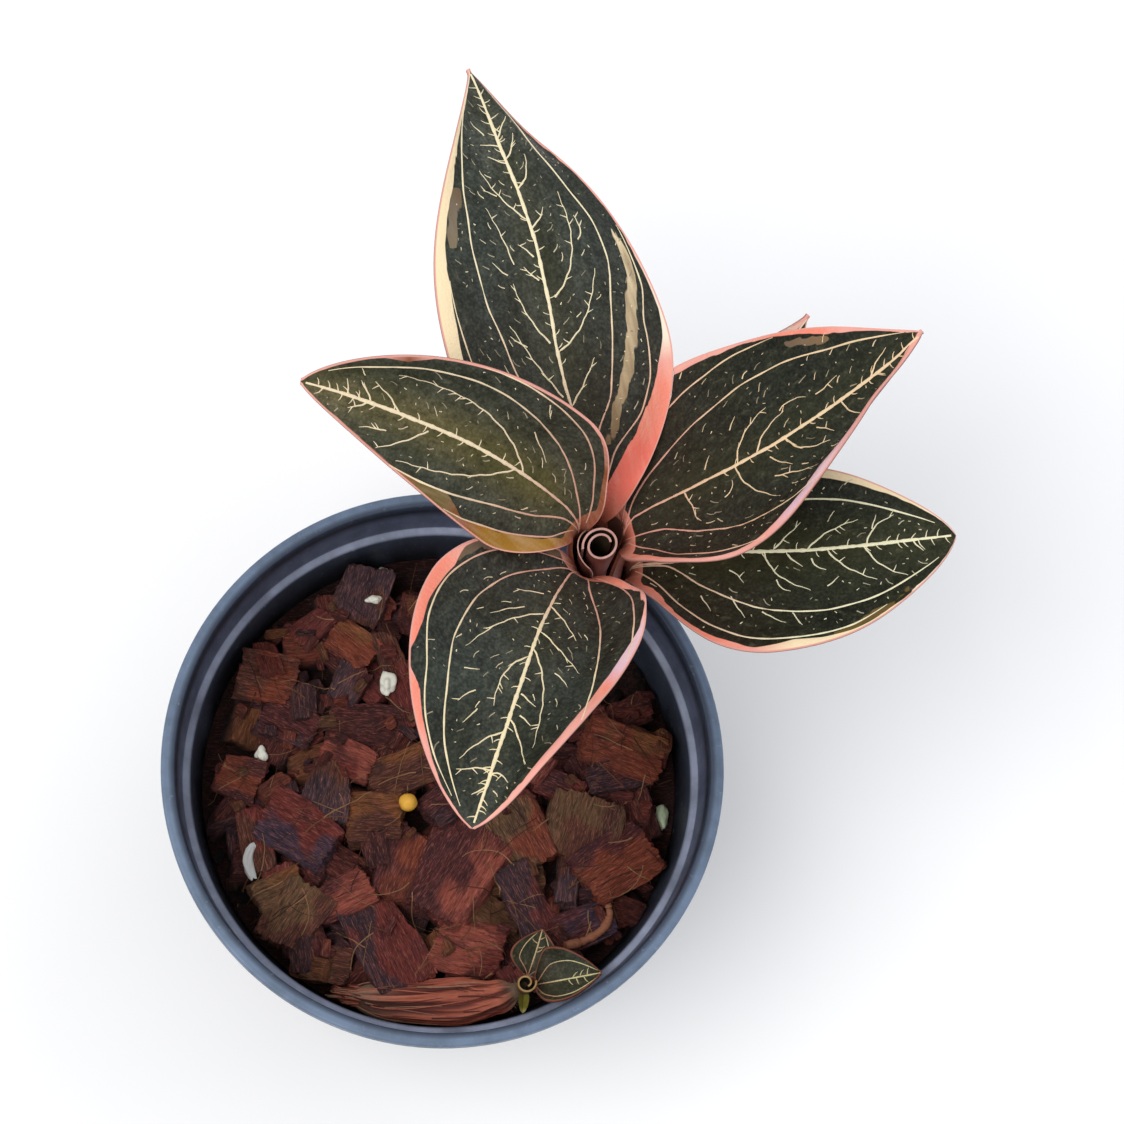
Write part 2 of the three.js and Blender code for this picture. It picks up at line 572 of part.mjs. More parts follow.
place('pot', potGeometry(), LOOKS.pot);
place('bark_mix', barkMixGeometry(), LOOKS.bark);
place('stem', stemGeometry(), LOOKS.stem);
place('new_leaf', rolledLeaf(NEW_LEAF, CROWN.clone().setZ(CROWN.z + GAP)), LOOKS.newLeaf);
leafSolids(LEAVES, shootOf).forEach((solid, i) => {
  place(LEAVES[i].name, toGeometry(solid), LOOKS.leaf);
});

place('offshoot_stem', offshootGeometry(), LOOKS.husk);
leafSolids(OFFSHOOT_LEAVES, offshootShootOf).forEach((solid, i) => {
  place(OFFSHOOT_LEAVES[i].name, toGeometry(solid), LOOKS.leaf);
});
const offshootTop = offshootTip.clone().setZ(offshootTip.z + GAP);
place('offshoot_new_leaf', rolledLeaf(OFFSHOOT_NEW_LEAF, offshootTop), LOOKS.newLeaf);

export default group;
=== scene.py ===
# Looks of the potted jewel orchid: fine leaves with raised veins and coloured margins, the crown's
# rolled new leaf, the offshoot in its husk, the bark mix, the nursery pot, the floor and the light.
# Lengths are in millimetres until a mesh is made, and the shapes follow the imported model's law.
import math

import bpy
import numpy as np
from mathutils import Euler, Matrix, Vector, noise
from mathutils.bvhtree import BVHTree
from mathutils.kdtree import KDTree


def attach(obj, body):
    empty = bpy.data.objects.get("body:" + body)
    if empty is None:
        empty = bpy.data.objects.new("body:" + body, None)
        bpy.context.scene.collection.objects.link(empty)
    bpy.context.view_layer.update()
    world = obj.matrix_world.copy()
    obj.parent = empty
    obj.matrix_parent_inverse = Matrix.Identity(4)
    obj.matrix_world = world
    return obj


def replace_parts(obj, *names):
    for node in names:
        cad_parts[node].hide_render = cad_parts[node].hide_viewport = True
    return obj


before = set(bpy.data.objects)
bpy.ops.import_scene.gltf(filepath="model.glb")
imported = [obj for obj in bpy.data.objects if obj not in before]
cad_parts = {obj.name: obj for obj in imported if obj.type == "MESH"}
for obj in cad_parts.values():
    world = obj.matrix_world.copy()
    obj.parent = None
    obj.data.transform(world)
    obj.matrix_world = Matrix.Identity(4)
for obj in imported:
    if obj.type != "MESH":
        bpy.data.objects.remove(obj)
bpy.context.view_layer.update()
MM = 0.001
UP = Vector((0, 0, 1))


def rgb(red, green, blue):
    """A display colour from 0 to 255 as the linear colour that a shader takes."""
    linear = [
        c / 12.92 if c <= 0.04045 else ((c + 0.055) / 1.055) ** 2.4
        for c in (red / 255, green / 255, blue / 255)
    ]
    return np.array((*linear, 1.0))


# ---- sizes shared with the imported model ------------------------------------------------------
# Lengths in mm, angles in degrees, heights from the pot's foot. GAP lies between two solids.
GAP = 0.3
# The pot.
RIM_RADIUS, POT_HEIGHT, BASE_RADIUS, BASE_CHAMFER = 52.5, 76.0, 37.0, 1.5
FLOOR, WALL = 1.8, 1.3
LIP_WIDTH, LIP_OVERHANG, LIP_HEIGHT, LIP_ROUNDING = 2.6, 1.2, 3.0, 0.6
COLLAR_DEPTH, COLLAR_TAPER = 12.0, 0.9
LEDGE_WIDTH, LEDGE_SLOPE, LEDGE_FAIRING = 1.5, 0.4, 5.0
DRAIN_HOLES, DRAIN_DIAMETER, DRAIN_CIRCLE = 6, 7.5, 26.0
HANGER_DIAMETER, HANGER_AZIMUTH, HANGER_DROP = 3.2, 78.0, 6.0
# The bark mix: its bed, its small chips and the level of its large ones.
BED_TOP, MIX_TOP = 53.0, 54.5
CHIPS, CHIP_SEED, CHIP_TILT, CHIP_ROUGHNESS = 84, 20, 22.0, 0.16
CHIP_LENGTH, CHIP_WIDTH, CHIP_THICKNESS = (7.5, 14.5), (5.5, 9.0), (4.0, 6.5)
CHIP_SPREAD, CHIP_STRAY, CHIP_LIFT, CHIP_CLEARANCE = 44.0, 0.5, (-1.2, 0.5), 2.0
TOP_CHIP_TILT, TOP_CHIP_LEVEL = 9.0, 57.0
# The stem, and what all leaves have in common.
STEM_FOOT, CROWN = np.array((16.0, 20.0, 45.0)), np.array((25.5, 30.5, 106.0))
STEM_UPRIGHT_FROM, STEM_RADIUS_FOOT, STEM_RADIUS_TOP = 72.0, 4.7, 2.5
STEM_OLD_NODES, STEM_NODE_SWELL = (56.5, 64.0), 0.45
BLADE_THICKNESS, MIDRIB_KEEL = 0.8, 0.7
SHEATH_LENGTH, SHEATH_FLARE, SHEATH_WRAP = 5.0, 1.1, (150.0, 96.0)
PETIOLE_WRAP, PETIOLE_HALF_WIDTH, TIP_HALF_WIDTH = 62.0, 2.7, 0.35
BEND_SHARE, MARGIN_FROM, MARGIN_FADE, RIPPLE_SLANT = 0.1, 0.5, 5.0, 2.2
# The rolled leaves, and the offshoot's middle line with the radii of its husk.
NEW_LEAF = dict(
    facing=10, height=15, turns=1.5, core=1.62, pitch=1.02, wall=0.6, foot=0.85, slant=2,
)
OFFSHOOT_PATH = np.array([
    (-19.5, -40.6, 58.5), (-9, -42.4, 59.6), (3.5, -42.5, 60.4),
    (11, -41.6, 60.8), (15, -40.3, 62.4), (15.7, -40, 66),
])
OFFSHOOT_RADII = (1.5, 3.4, 4.3, 3, 1.7, 1.3)
OFFSHOOT_LEAF_SCALE = 0.4
OFFSHOOT_NEW_LEAF = dict(
    facing=300, height=5, turns=1.2, core=0.75, pitch=0.95, wall=0.5, foot=0.85, slant=0.6,
)

# ---- looks of the leaves ---------------------------------------------------------------------
CREAM, PALE = rgb(244, 222, 180), rgb(240, 226, 204)
SALMON, DEEP_SALMON, PINK = rgb(240, 140, 118), rgb(238, 116, 98), rgb(232, 160, 146)
LILAC = rgb(218, 178, 188)
GOLD, OLIVE_GOLD, RUST = rgb(152, 108, 36), rgb(98, 80, 34), rgb(138, 78, 48)
TAUPE, GREY_TAN = rgb(108, 92, 78), rgb(130, 120, 98)
TAN, BROWN_TAN = rgb(190, 160, 118), rgb(136, 108, 78)
EDGE_PINK, SHEATH, MAROON = rgb(224, 160, 146), rgb(150, 84, 64), rgb(92, 36, 28)
MAROON_EDGE = rgb(116, 70, 54)
DULL_FLECK = rgb(120, 110, 90)

# Each leaf's form, in lengths in mm and angles in degrees as in the imported model, and its looks.
# A share runs from 0 at the blade's foot to 1 at its tip, a place across from 0 at the middle to 1
# at the margin; side +1 is left of the midrib and -1 right of it.
# bright    how much painted sheen lies on the blade at its foot and at its tip
# olive     how far the green turns to olive beside the midrib
# edge      colour of the very edge, where it isn't EDGE_PINK
# vein      colour of the veins at the foot and from the middle on
# seed      of the random draws for barbs and flecks
# middle    (share, mm that the midrib strays to the left)
# veins     the lengthwise ones by (side, 0 for the inner or 1 for the outer): (share, place across)
# branches  (side, share, mm off the midrib, length in mm, first and last angle to the midrib)
# margins   by side: (share, mm that the coloured margin reaches in, colour)
# patches   streaks: side, (share, place across), half width in mm, first and last colour
LEAVES = [
    dict(name="leaf_1", azimuth=144.8, node=102, erect=88, petiole=13, length=58.9, half=14.2,
         widest=0.26, taper=0.74, rise=39.7, droop=34.2, sweep=27.5, roll=-17.2, cup=18.1, lean=-0.05,
         edges=(3.3, -0.8), wave=(0.6, 0),
         bright=(0.4, 0.5), olive=0.95, vein=(rgb(212, 160, 138), rgb(238, 218, 182)), seed=11,
         middle=[(0, -0.3), (0.1, -0.9), (0.2, -0.7), (0.43, 0), (0.65, 0.7), (0.82, 0.6), (1, 0)],
         veins={(1, 0): [(0, 0.03), (0.08, 0.1), (0.16, 0.32), (0.3, 0.51), (0.45, 0.74),
                         (0.57, 0.88), (0.67, 0.98)],
                (1, 1): [(0, 0.1), (0.08, 0.6), (0.17, 0.68), (0.27, 0.79), (0.37, 0.91),
                         (0.45, 0.97)],
                (-1, 0): [(0, 0.1), (0.07, 0.32), (0.15, 0.44), (0.26, 0.57), (0.35, 0.66),
                          (0.45, 0.73), (0.55, 0.77), (0.7, 0.77), (0.8, 0.74), (0.93, 0.76)],
                (-1, 1): [(0, 0.4), (0.07, 0.68), (0.14, 0.77), (0.23, 0.84), (0.33, 0.91),
                          (0.44, 0.96), (0.55, 0.98)]},
         branches=[(-1, 0.28, 0, 29, 37, -8), (-1, 0.7, 0, 7, 42, 26), (-1, 0.79, 0, 4, 55, 43),
                   (-1, 0.86, 0, 3, 71, 71), (-1, 0.36, 12.7, 3, -136, -136),
                   (-1, 0.33, 7.3, 6, -150, -150), (1, 0.31, 0, 23, 46, 7),
                   (1, 0.6, 1, 10, 49, 32), (1, 0.72, 3.6, 5, 0, 18), (1, 0.8, 0, 4, 43, 23)],
         margins={1: [(0, 0.6, GOLD), (0.07, 3, GOLD), (0.17, 3.8, GOLD), (0.27, 2.9, GOLD),
                      (0.37, 1.2, RUST), (0.46, 2.9, OLIVE_GOLD), (0.55, 1.5, OLIVE_GOLD),
                      (0.65, 0.5, RUST), (1, 0.3, PINK)],
                  -1: [(0, 1.6, RUST), (0.12, 1.1, RUST), (0.25, 0.4, PINK), (0.68, 0.4, PINK),
                       (0.74, 1.2, RUST), (0.8, 0.4, PINK), (1, 0.3, PINK)]},
         patches=[]),
    dict(name="leaf_2", azimuth=101.4, node=96.5, erect=87, petiole=15.5, length=89.5, half=22,
         widest=0.38, taper=1.14, rise=18.3, droop=32.6, sweep=7.9, roll=11.2, cup=7.5, lean=0.01,
         edges=(-3.6, 2.2), wave=(0.9, 1),
         bright=(0.0, 0.6), olive=0.25, vein=(rgb(226, 172, 146), rgb(244, 230, 190)), seed=12,
         middle=[(0, 0), (0.2, 0.2), (0.28, 0.8), (0.37, 0.7), (0.45, 0), (0.58, -0.7),
                 (0.7, -0.5), (0.8, 0), (1, 0)],
         veins={(1, 0): [(0, 0.1), (0.2, 0.33), (0.32, 0.42), (0.39, 0.46), (0.47, 0.53),
                         (0.57, 0.59), (0.66, 0.64), (0.76, 0.74), (0.84, 0.86), (0.92, 0.93)],
                (1, 1): [(0, 0.3), (0.2, 0.72), (0.4, 0.82), (0.52, 0.86)],
                (-1, 0): [(0, 0.05), (0.12, 0.12), (0.19, 0.22), (0.24, 0.36), (0.36, 0.45),
                          (0.45, 0.54), (0.53, 0.66), (0.61, 0.7), (0.7, 0.65), (0.78, 0.6),
                          (0.86, 0.66), (0.95, 0.84)],
                (-1, 1): [(0, 0.15), (0.14, 0.4), (0.2, 0.68), (0.27, 0.77), (0.39, 0.79),
                          (0.46, 0.9), (0.6, 0.97)]},
         branches=[(1, 0.26, 1, 16, 30, 22), (1, 0.37, 1, 13, 35, 8), (1, 0.54, 5, 12, 2, 16),
                   (1, 0.55, 1, 4, 36, 42), (1, 0.5, 1, 4, 37, 37), (1, 0.63, 0, 13, 44, 17),
                   (1, 0.52, 6.6, 4, 48, 31), (1, 0.69, 4.3, 3, 56, 56), (1, 0.76, 0, 4, 66, 58),
                   (1, 0.8, 0, 4, 64, 89), (1, 0.83, 2.2, 4, 20, 35), (1, 0.37, 5.4, 4, 49, 49),
                   (-1, 0.35, 0, 18, 62, 20), (-1, 0.46, 1.3, 22, 49, -4),
                   (-1, 0.24, 0, 10, 43, 35), (-1, 0.7, 0, 8, 53, 6), (-1, 0.82, 0, 5, 34, 35),
                   (-1, 0.77, 0, 6, 45, 17), (-1, 0.61, 0, 5, 56, 31), (-1, 0.57, 7.8, 5, 37, -20)],
         margins={1: [(0, 2, SALMON), (0.2, 2.6, PINK), (0.3, 2.6, CREAM), (0.42, 3.1, CREAM),
                      (0.5, 3.1, CREAM), (0.56, 2.2, CREAM), (0.66, 1.9, CREAM), (0.72, 2, CREAM),
                      (0.78, 1.1, CREAM), (0.86, 0.7, CREAM), (1, 0.4, PALE)],
                  -1: [(0, 7, DEEP_SALMON), (0.13, 6.6, DEEP_SALMON), (0.19, 5.3, SALMON),
                       (0.25, 3.7, SALMON), (0.3, 2.9, PINK), (0.35, 1.4, PALE),
                       (0.41, 0.6, PALE), (0.6, 0.4, PINK), (1, 0.3, PINK)]},
         patches=[(-1, [(0.15, 0.32), (0.25, 0.47), (0.31, 0.57), (0.36, 0.62), (0.42, 0.71),
                        (0.47, 0.8), (0.53, 0.87), (0.6, 0.9)], 1.2, BROWN_TAN, CREAM),
                  (1, [(0.58, 0.8), (0.66, 0.82), (0.72, 0.8)], 1.1, GREY_TAN, TAUPE)]),
    dict(name="leaf_3", azimuth=27.2, node=91, erect=88, petiole=19, length=65.1, half=21.9,
         widest=0.34, taper=0.97, rise=28, droop=-2.5, sweep=7.8, roll=-23.4, cup=3.9, lean=0.09,
         edges=(5.9, 0.4), wave=(0.8, 2),
         bright=(0, 0.06), olive=0.25, vein=(rgb(214, 148, 130), rgb(238, 208, 166)), seed=13,
         middle=[(0, 1.2), (0.06, 2.6), (0.12, 2.4), (0.25, 1.3), (0.37, 0.2), (0.49, -0.7),
                 (0.62, -1.2), (0.8, -1.5), (0.92, -1.2), (1, -0.5)],
         veins={(1, 0): [(0, 0.3), (0.06, 0.5), (0.18, 0.48), (0.3, 0.5), (0.42, 0.56),
                         (0.53, 0.61), (0.62, 0.65), (0.76, 0.65), (0.88, 0.68), (0.96, 0.74)],
                (1, 1): [(0, 0.6), (0.15, 0.74), (0.31, 0.76), (0.42, 0.82), (0.52, 0.9),
                         (0.64, 0.96)],
                (-1, 0): [(0, 0.1), (0.13, 0.22), (0.21, 0.41), (0.29, 0.52), (0.39, 0.63),
                          (0.48, 0.76), (0.55, 0.88), (0.61, 0.97)],
                (-1, 1): [(0, 0.19), (0.06, 0.52), (0.16, 0.81), (0.24, 0.87), (0.31, 0.89),
                          (0.4, 0.97)]},
         branches=[(1, 0.39, 0, 12, 66, 12), (1, 0.45, 0, 9, 50, 11), (1, 0.3, 2, 3, 43, 43),
                   (1, 0.41, 7, 3, 40, 40), (1, 0.67, 3.8, 5, 0, 16), (1, 0.82, 0, 6, 40, 20),
                   (1, 0.56, 5.2, 6, 23, -35), (-1, 0.38, 0, 13, 92, 45), (-1, 0.22, 0, 7, 76, 93),
                   (-1, 0.54, 0, 10, 80, 13), (-1, 0.72, 0, 6, 86, 50), (-1, 0.47, 6, 9, 21, 28),
                   (-1, 0.48, 2, 5, 58, 45), (-1, 0.32, 5, 4, -2, -76), (-1, 0.63, 2, 4, 47, 47)],
         margins={1: [(0, 1, SALMON), (0.3, 1, PINK), (0.36, 1.6, PINK), (0.46, 0.9, PINK),
                      (0.56, 0.5, PINK), (0.66, 0.8, SALMON), (0.72, 1.1, SALMON),
                      (0.77, 1.6, SALMON), (0.82, 1.4, PINK), (0.88, 0.7, PINK), (1, 0.4, PINK)],
                  -1: [(0, 2, SALMON), (0.08, 1.7, SALMON), (0.2, 1, PINK), (0.32, 0.9, PINK),
                       (0.42, 1.5, PINK), (0.5, 1.9, LILAC), (0.62, 2.2, LILAC), (0.78, 2.2, PINK),
                       (0.88, 2.2, PINK), (0.94, 1.4, PINK), (1, 0.4, PINK)]},
         patches=[(1, [(0.66, 0.84), (0.72, 0.82), (0.78, 0.8)], 0.8, TAUPE, BROWN_TAN)]),
    dict(name="leaf_4", azimuth=236.9, node=85.5, erect=90, petiole=23.4, length=60.5, half=19.1,
         widest=0.36, taper=0.73, rise=45.4, droop=46.5, sweep=20.2, roll=4.6, cup=12, lean=-0.15,
         edges=(2.3, 5.3), wave=(0.8, 3),
         bright=(0.2, 0.32), olive=0.15, vein=(rgb(216, 156, 138), rgb(242, 224, 182)), seed=14,
         middle=[(0, -1), (0.06, -1.9), (0.18, -1.7), (0.31, -1.2), (0.43, -0.5), (0.55, 0.2),
                 (0.68, 0.6), (0.86, 0.6), (1, 0)],
         veins={(1, 0): [(0, 0.2), (0.09, 0.27), (0.18, 0.46), (0.24, 0.54), (0.34, 0.61),
                         (0.46, 0.72), (0.59, 0.86), (0.66, 0.97)],
                (1, 1): [(0, 0.6), (0.09, 0.84), (0.18, 0.85), (0.31, 0.89), (0.42, 0.97)],
                (-1, 0): [(0, 0.2), (0.06, 0.46), (0.19, 0.54), (0.33, 0.6), (0.5, 0.64),
                          (0.65, 0.61), (0.8, 0.65), (0.95, 0.6)],
                (-1, 1): [(0, 0.6), (0.1, 0.8), (0.19, 0.84), (0.4, 0.88), (0.5, 0.88),
                          (0.62, 0.82), (0.75, 0.86), (0.85, 0.85), (0.93, 0.76)]},
         branches=[(-1, 0.28, 0.4, 17, 50, 24), (-1, 0.29, 4, 7, 51, 37), (-1, 0.21, 2, 5, 59, 68),
                   (-1, 0.45, 0, 13, 40, -10), (-1, 0.57, 10, 3, -112, -112),
                   (-1, 0.62, 6.9, 4, 41, 33), (-1, 0.67, 5.6, 4, 14, 35), (-1, 0.71, 0, 9, 51, 31),
                   (-1, 0.83, 0, 6, 83, 67), (-1, 0.88, 0, 3, 45, 41), (1, 0.24, 0, 9, 60, 44),
                   (1, 0.35, 0, 12, 64, 50), (1, 0.42, 0, 21, 40, 4), (1, 0.48, 5, 4, 80, 37),
                   (1, 0.58, 0.6, 4, 65, 59), (1, 0.67, 0.4, 9, 40, 27), (1, 0.84, 0, 4, 106, 48),
                   (1, 0.65, 1.6, 3, 61, 61)],
         margins={1: [(0, 3, SALMON), (0.08, 1.8, SALMON), (0.13, 0.9, PINK), (0.25, 0.4, PINK),
                      (0.3, 0.7, LILAC), (0.37, 1.5, LILAC), (0.45, 1.8, LILAC), (0.53, 2, SALMON),
                      (0.63, 1.8, PINK), (0.8, 1.4, PINK), (0.92, 0.9, PINK), (1, 0.4, PINK)],
                  -1: [(0, 0.4, PINK), (0.24, 0.6, PINK), (0.3, 2.4, SALMON), (0.36, 2.4, SALMON),
                       (0.44, 2, SALMON), (0.52, 1.9, SALMON), (0.58, 1, SALMON), (0.61, 0.3, PINK),
                       (0.65, 0.3, PINK), (0.68, 1.7, SALMON), (0.76, 1.5, SALMON),
                       (0.83, 1.2, PINK), (0.9, 0.6, PINK), (1, 0.4, PINK)]},
         patches=[(-1, [(-0.03, 0.9), (0.1, 0.91), (0.2, 0.93), (0.3, 0.95)], 1.3, TAUPE, TAUPE)]),
    dict(name="leaf_5", azimuth=2.2, node=80, erect=84, petiole=18.7, length=59, half=17.4,
         widest=0.44, taper=0.7, rise=16.6, droop=9.9, sweep=3, roll=-1.4, cup=9.4, lean=-0.11,
         edges=(1.5, 0.7), wave=(0.9, 4),
         bright=(0, 0), olive=0.4, vein=(rgb(228, 186, 156), rgb(242, 236, 198)), seed=15,
         middle=[(0, 0.3), (0.1, 0), (0.2, 0), (0.31, 0.9), (0.43, 0.3), (0.55, -0.2),
                 (0.7, -0.3), (1, 0)],
         veins={(1, 0): [(0, 0.1), (0.2, 0.38), (0.4, 0.55), (0.56, 0.62), (0.67, 0.64),
                         (0.76, 0.62), (0.85, 0.6), (0.94, 0.58)],
                (1, 1): [(0, 0.5), (0.3, 0.85), (0.5, 0.88), (0.65, 0.94)],
                (-1, 0): [(0, 0.03), (0.12, 0.06), (0.21, 0.31), (0.3, 0.44), (0.39, 0.53),
                          (0.49, 0.6), (0.6, 0.65), (0.72, 0.69), (0.82, 0.7), (0.94, 0.7)],
                (-1, 1): [(0, 0.15), (0.06, 0.41), (0.14, 0.7), (0.23, 0.79), (0.34, 0.85),
                          (0.5, 0.88), (0.67, 0.91), (0.77, 0.88)]},
         branches=[(1, 0.45, 0.5, 7, 42, 38), (1, 0.55, 0, 11, 44, 13), (1, 0.73, 0, 8, 74, 20),
                   (1, 0.75, 2.8, 3, 71, 71), (-1, 0.42, 0, 12, 78, 23), (-1, 0.61, 0, 11, 58, 24),
                   (-1, 0.72, 0, 10, 66, 25), (-1, 0.49, 0.7, 4, 55, 39),
                   (-1, 0.56, 1.6, 4, 69, 24), (-1, 0.31, 3.5, 4, 36, 56),
                   (-1, 0.45, 5.4, 4, 72, 24), (-1, 0.6, 7, 3, -37, -37), (-1, 0.87, 0, 3, 72, 39),
                   (-1, 0.22, 7.1, 4, 63, 63), (-1, 0.31, 8.5, 5, 62, 62),
                   (-1, 0.4, 11.4, 5, 45, 27), (-1, 0.49, 11.8, 3, 60, 60)],
         margins={1: [(0, 1.4, SALMON), (0.3, 1.6, PINK), (0.48, 2.4, CREAM), (0.6, 1.7, CREAM),
                      (0.74, 1.5, CREAM), (0.81, 1.1, CREAM), (0.88, 0.7, CREAM), (1, 0.3, PALE)],
                  -1: [(0, 2, SALMON), (0.09, 2, SALMON), (0.15, 0.9, SALMON), (0.29, 1.3, SALMON),
                       (0.37, 0.9, PINK), (0.49, 1.9, CREAM), (0.57, 1.1, CREAM),
                       (0.68, 0.5, CREAM), (1, 0.3, PALE)]},
         patches=[(1, [(0.42, 0.74), (0.52, 0.8), (0.6, 0.84)], 0.7, TAN, OLIVE_GOLD),
                  (-1, [(0.6, 0.94), (0.72, 0.92), (0.84, 0.9)], 0.6, OLIVE_GOLD, OLIVE_GOLD)]),
    dict(name="leaf_6", azimuth=49, node=74.5, erect=80, petiole=22, length=53, half=11,
         widest=0.45, taper=1.1, rise=12, droop=2, sweep=2, roll=40, cup=16, lean=0,
         edges=(1, 1), wave=(0.6, 5),
         bright=(0, 0), olive=0.5, vein=(rgb(220, 170, 150), rgb(240, 220, 190)), seed=16,
         middle=[(0, 0), (1, 0)],
         branches=[(-1, 0.3, 0, 8, 56, 20), (-1, 0.5, 0, 8, 56, 20), (1, 0.4, 0, 6, 50, 20)],
         margins={1: [(0, 0.8, PINK), (0.3, 1, PINK), (0.55, 1.5, PALE), (0.8, 1.7, PALE),
                      (1, 0.8, PINK)],
                  -1: [(0, 0.5, PINK), (1, 0.3, PINK)]},
         patches=[]),
]
OFFSHOOT_LEAVES = [
    dict(name="offshoot_leaf_1", azimuth=7, drop=1.6, erect=70, petiole=1, length=12.8, half=5.3,
         widest=0.3, taper=0.85, rise=27, droop=20, sweep=4, roll=0, cup=24, lean=0.24,
         edges=(0.2, 0.2), wave=(0.2, 0),
         bright=(0, 0), edge=MAROON_EDGE, olive=0.3,
         vein=(rgb(170, 128, 98), rgb(204, 190, 140)), seed=21,
         middle=[(0, 0), (1, 0)],
         veins={(1, 0): [(0, 0.1), (0.08, 0.34), (0.3, 0.52), (0.6, 0.62), (0.95, 0.6)],
                (-1, 0): [(0, 0.2), (0.08, 0.6), (0.3, 0.74), (0.6, 0.8), (0.9, 0.8)]},
         margins={1: [(0, 0.3, RUST), (1, 0.25, RUST)], -1: [(0, 0.3, RUST), (1, 0.25, RUST)]},
         patches=[]),
    dict(name="offshoot_leaf_2", azimuth=70, drop=3.6, erect=60, petiole=0.8, length=9.2, half=4.6,
         widest=0.38, taper=0.9, rise=16, droop=12, sweep=6, roll=0, cup=12, lean=0,
         edges=(0.2, 0.2), wave=(0.2, 1),
         bright=(0, 0), edge=MAROON_EDGE, olive=0.3,
         vein=(rgb(160, 118, 92), rgb(186, 160, 118)), seed=22,
         middle=[(0, 0), (1, 0)],
         veins={(1, 0): [(0, 0.1), (0.3, 0.6), (0.9, 0.6)],
                (-1, 0): [(0, 0.1), (0.3, 0.6), (0.9, 0.6)]},
         margins={1: [(0, 0.35, RUST), (1, 0.3, RUST)], -1: [(0, 0.35, RUST), (1, 0.3, RUST)]},
         patches=[]),
]

# ---- small tools -----------------------------------------------------------------------------
def smooth(x):
    """A step from 0 to 1 with soft ends."""
    x = np.clip(x, 0.0, 1.0)
    return x * x * (3 - 2 * x)


def lerp(a, b, share):
    """The value that lies at a share of the way from a to b."""
    return a + (b - a) * share


def circle(count):
    """Angles all the way round."""
    return np.linspace(0, 2 * np.pi, count, endpoint=False)


def ring(radius, angle, z):
    """Points at a radius, angle and height, each a number or an array."""
    return np.stack(np.broadcast_arrays(radius * np.cos(angle), radius * np.sin(angle), z), axis=-1)


def direction(pitch, heading):
    """Unit vectors that climb by pitch towards heading."""
    level = np.cos(pitch)
    return np.stack([level * np.cos(heading), level * np.sin(heading), np.sin(pitch)], axis=-1)


def tint_layer(tints):
    """The attribute that holds the colour of each point."""
    return {"tint": ("FLOAT_COLOR", tints)}


def seeded(seed):
    """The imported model's own stream of numbers from 0 to 1."""
    low = 0xFFFFFFFF  # keeps 32 bits
    state = seed

    def draw():
        nonlocal state
        state = (state + 0x6D2B79F5) & low
        bits = ((state ^ (state >> 15)) * (1 | state)) & low
        bits = ((bits + (((bits ^ (bits >> 7)) * (61 | bits)) & low)) ^ bits) & low
        return ((bits ^ (bits >> 14)) & low) / (low + 1)

    return draw


def add_piece(name, verts, faces, material, attributes=None, sharp=60, stage=False):
    """A mesh from points in mm, with per-point attributes; it rides on the part unless stage is set."""
    mesh = bpy.data.meshes.new(name)
    mesh.from_pydata((np.asarray(verts, dtype=float) * MM).tolist(), [], faces)
    fields = {"FLOAT": "value", "FLOAT_VECTOR": "vector", "FLOAT_COLOR": "color"}
    for key, (kind, values) in (attributes or {}).items():
        layer = mesh.attributes.new(key, kind, "POINT")
        layer.data.foreach_set(fields[kind], np.asarray(values, dtype=np.float32).ravel())
    mesh.materials.append(material)
    mesh.shade_smooth()
    mesh.set_sharp_from_angle(angle=math.radians(sharp))
    piece = bpy.data.objects.new(name, mesh)
    bpy.context.scene.collection.objects.link(piece)
    if stage:
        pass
    else:
        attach(piece, "root")
    return piece


def grid_faces(rows, across, wrap=False):
    """Quads between rows of points; wrap closes each row on itself."""
    faces = []
    for i in range(rows - 1):
        for j in range(across if wrap else across - 1):
            here, beside = i * across + j, i * across + (j + 1) % across
            faces.append((here, here + across, beside + across, beside))
    return faces


def sheet_mesh(upper, lower):
    """A closed sheet from its upper and lower grids of points (rows, across, 3)."""
    rows, across = upper.shape[:2]
    below = rows * across
    verts = np.concatenate([upper.reshape(-1, 3), lower.reshape(-1, 3)])
    faces = grid_faces(rows, across)
    faces += [(below + a, below + d, below + c, below + b) for a, b, c, d in faces]
    for i in range(rows - 1):
        a, b = i * across, (i + 1) * across
        faces.append((below + a, below + b, b, a))
        a, b = a + across - 1, b + across - 1
        faces.append((a, b, below + b, below + a))
    end = (rows - 1) * across
    for j in range(across - 1):
        faces.append((below + j, j, j + 1, below + j + 1))
        faces.append((end + j, below + end + j, below + end + j + 1, end + j + 1))
    return verts, faces


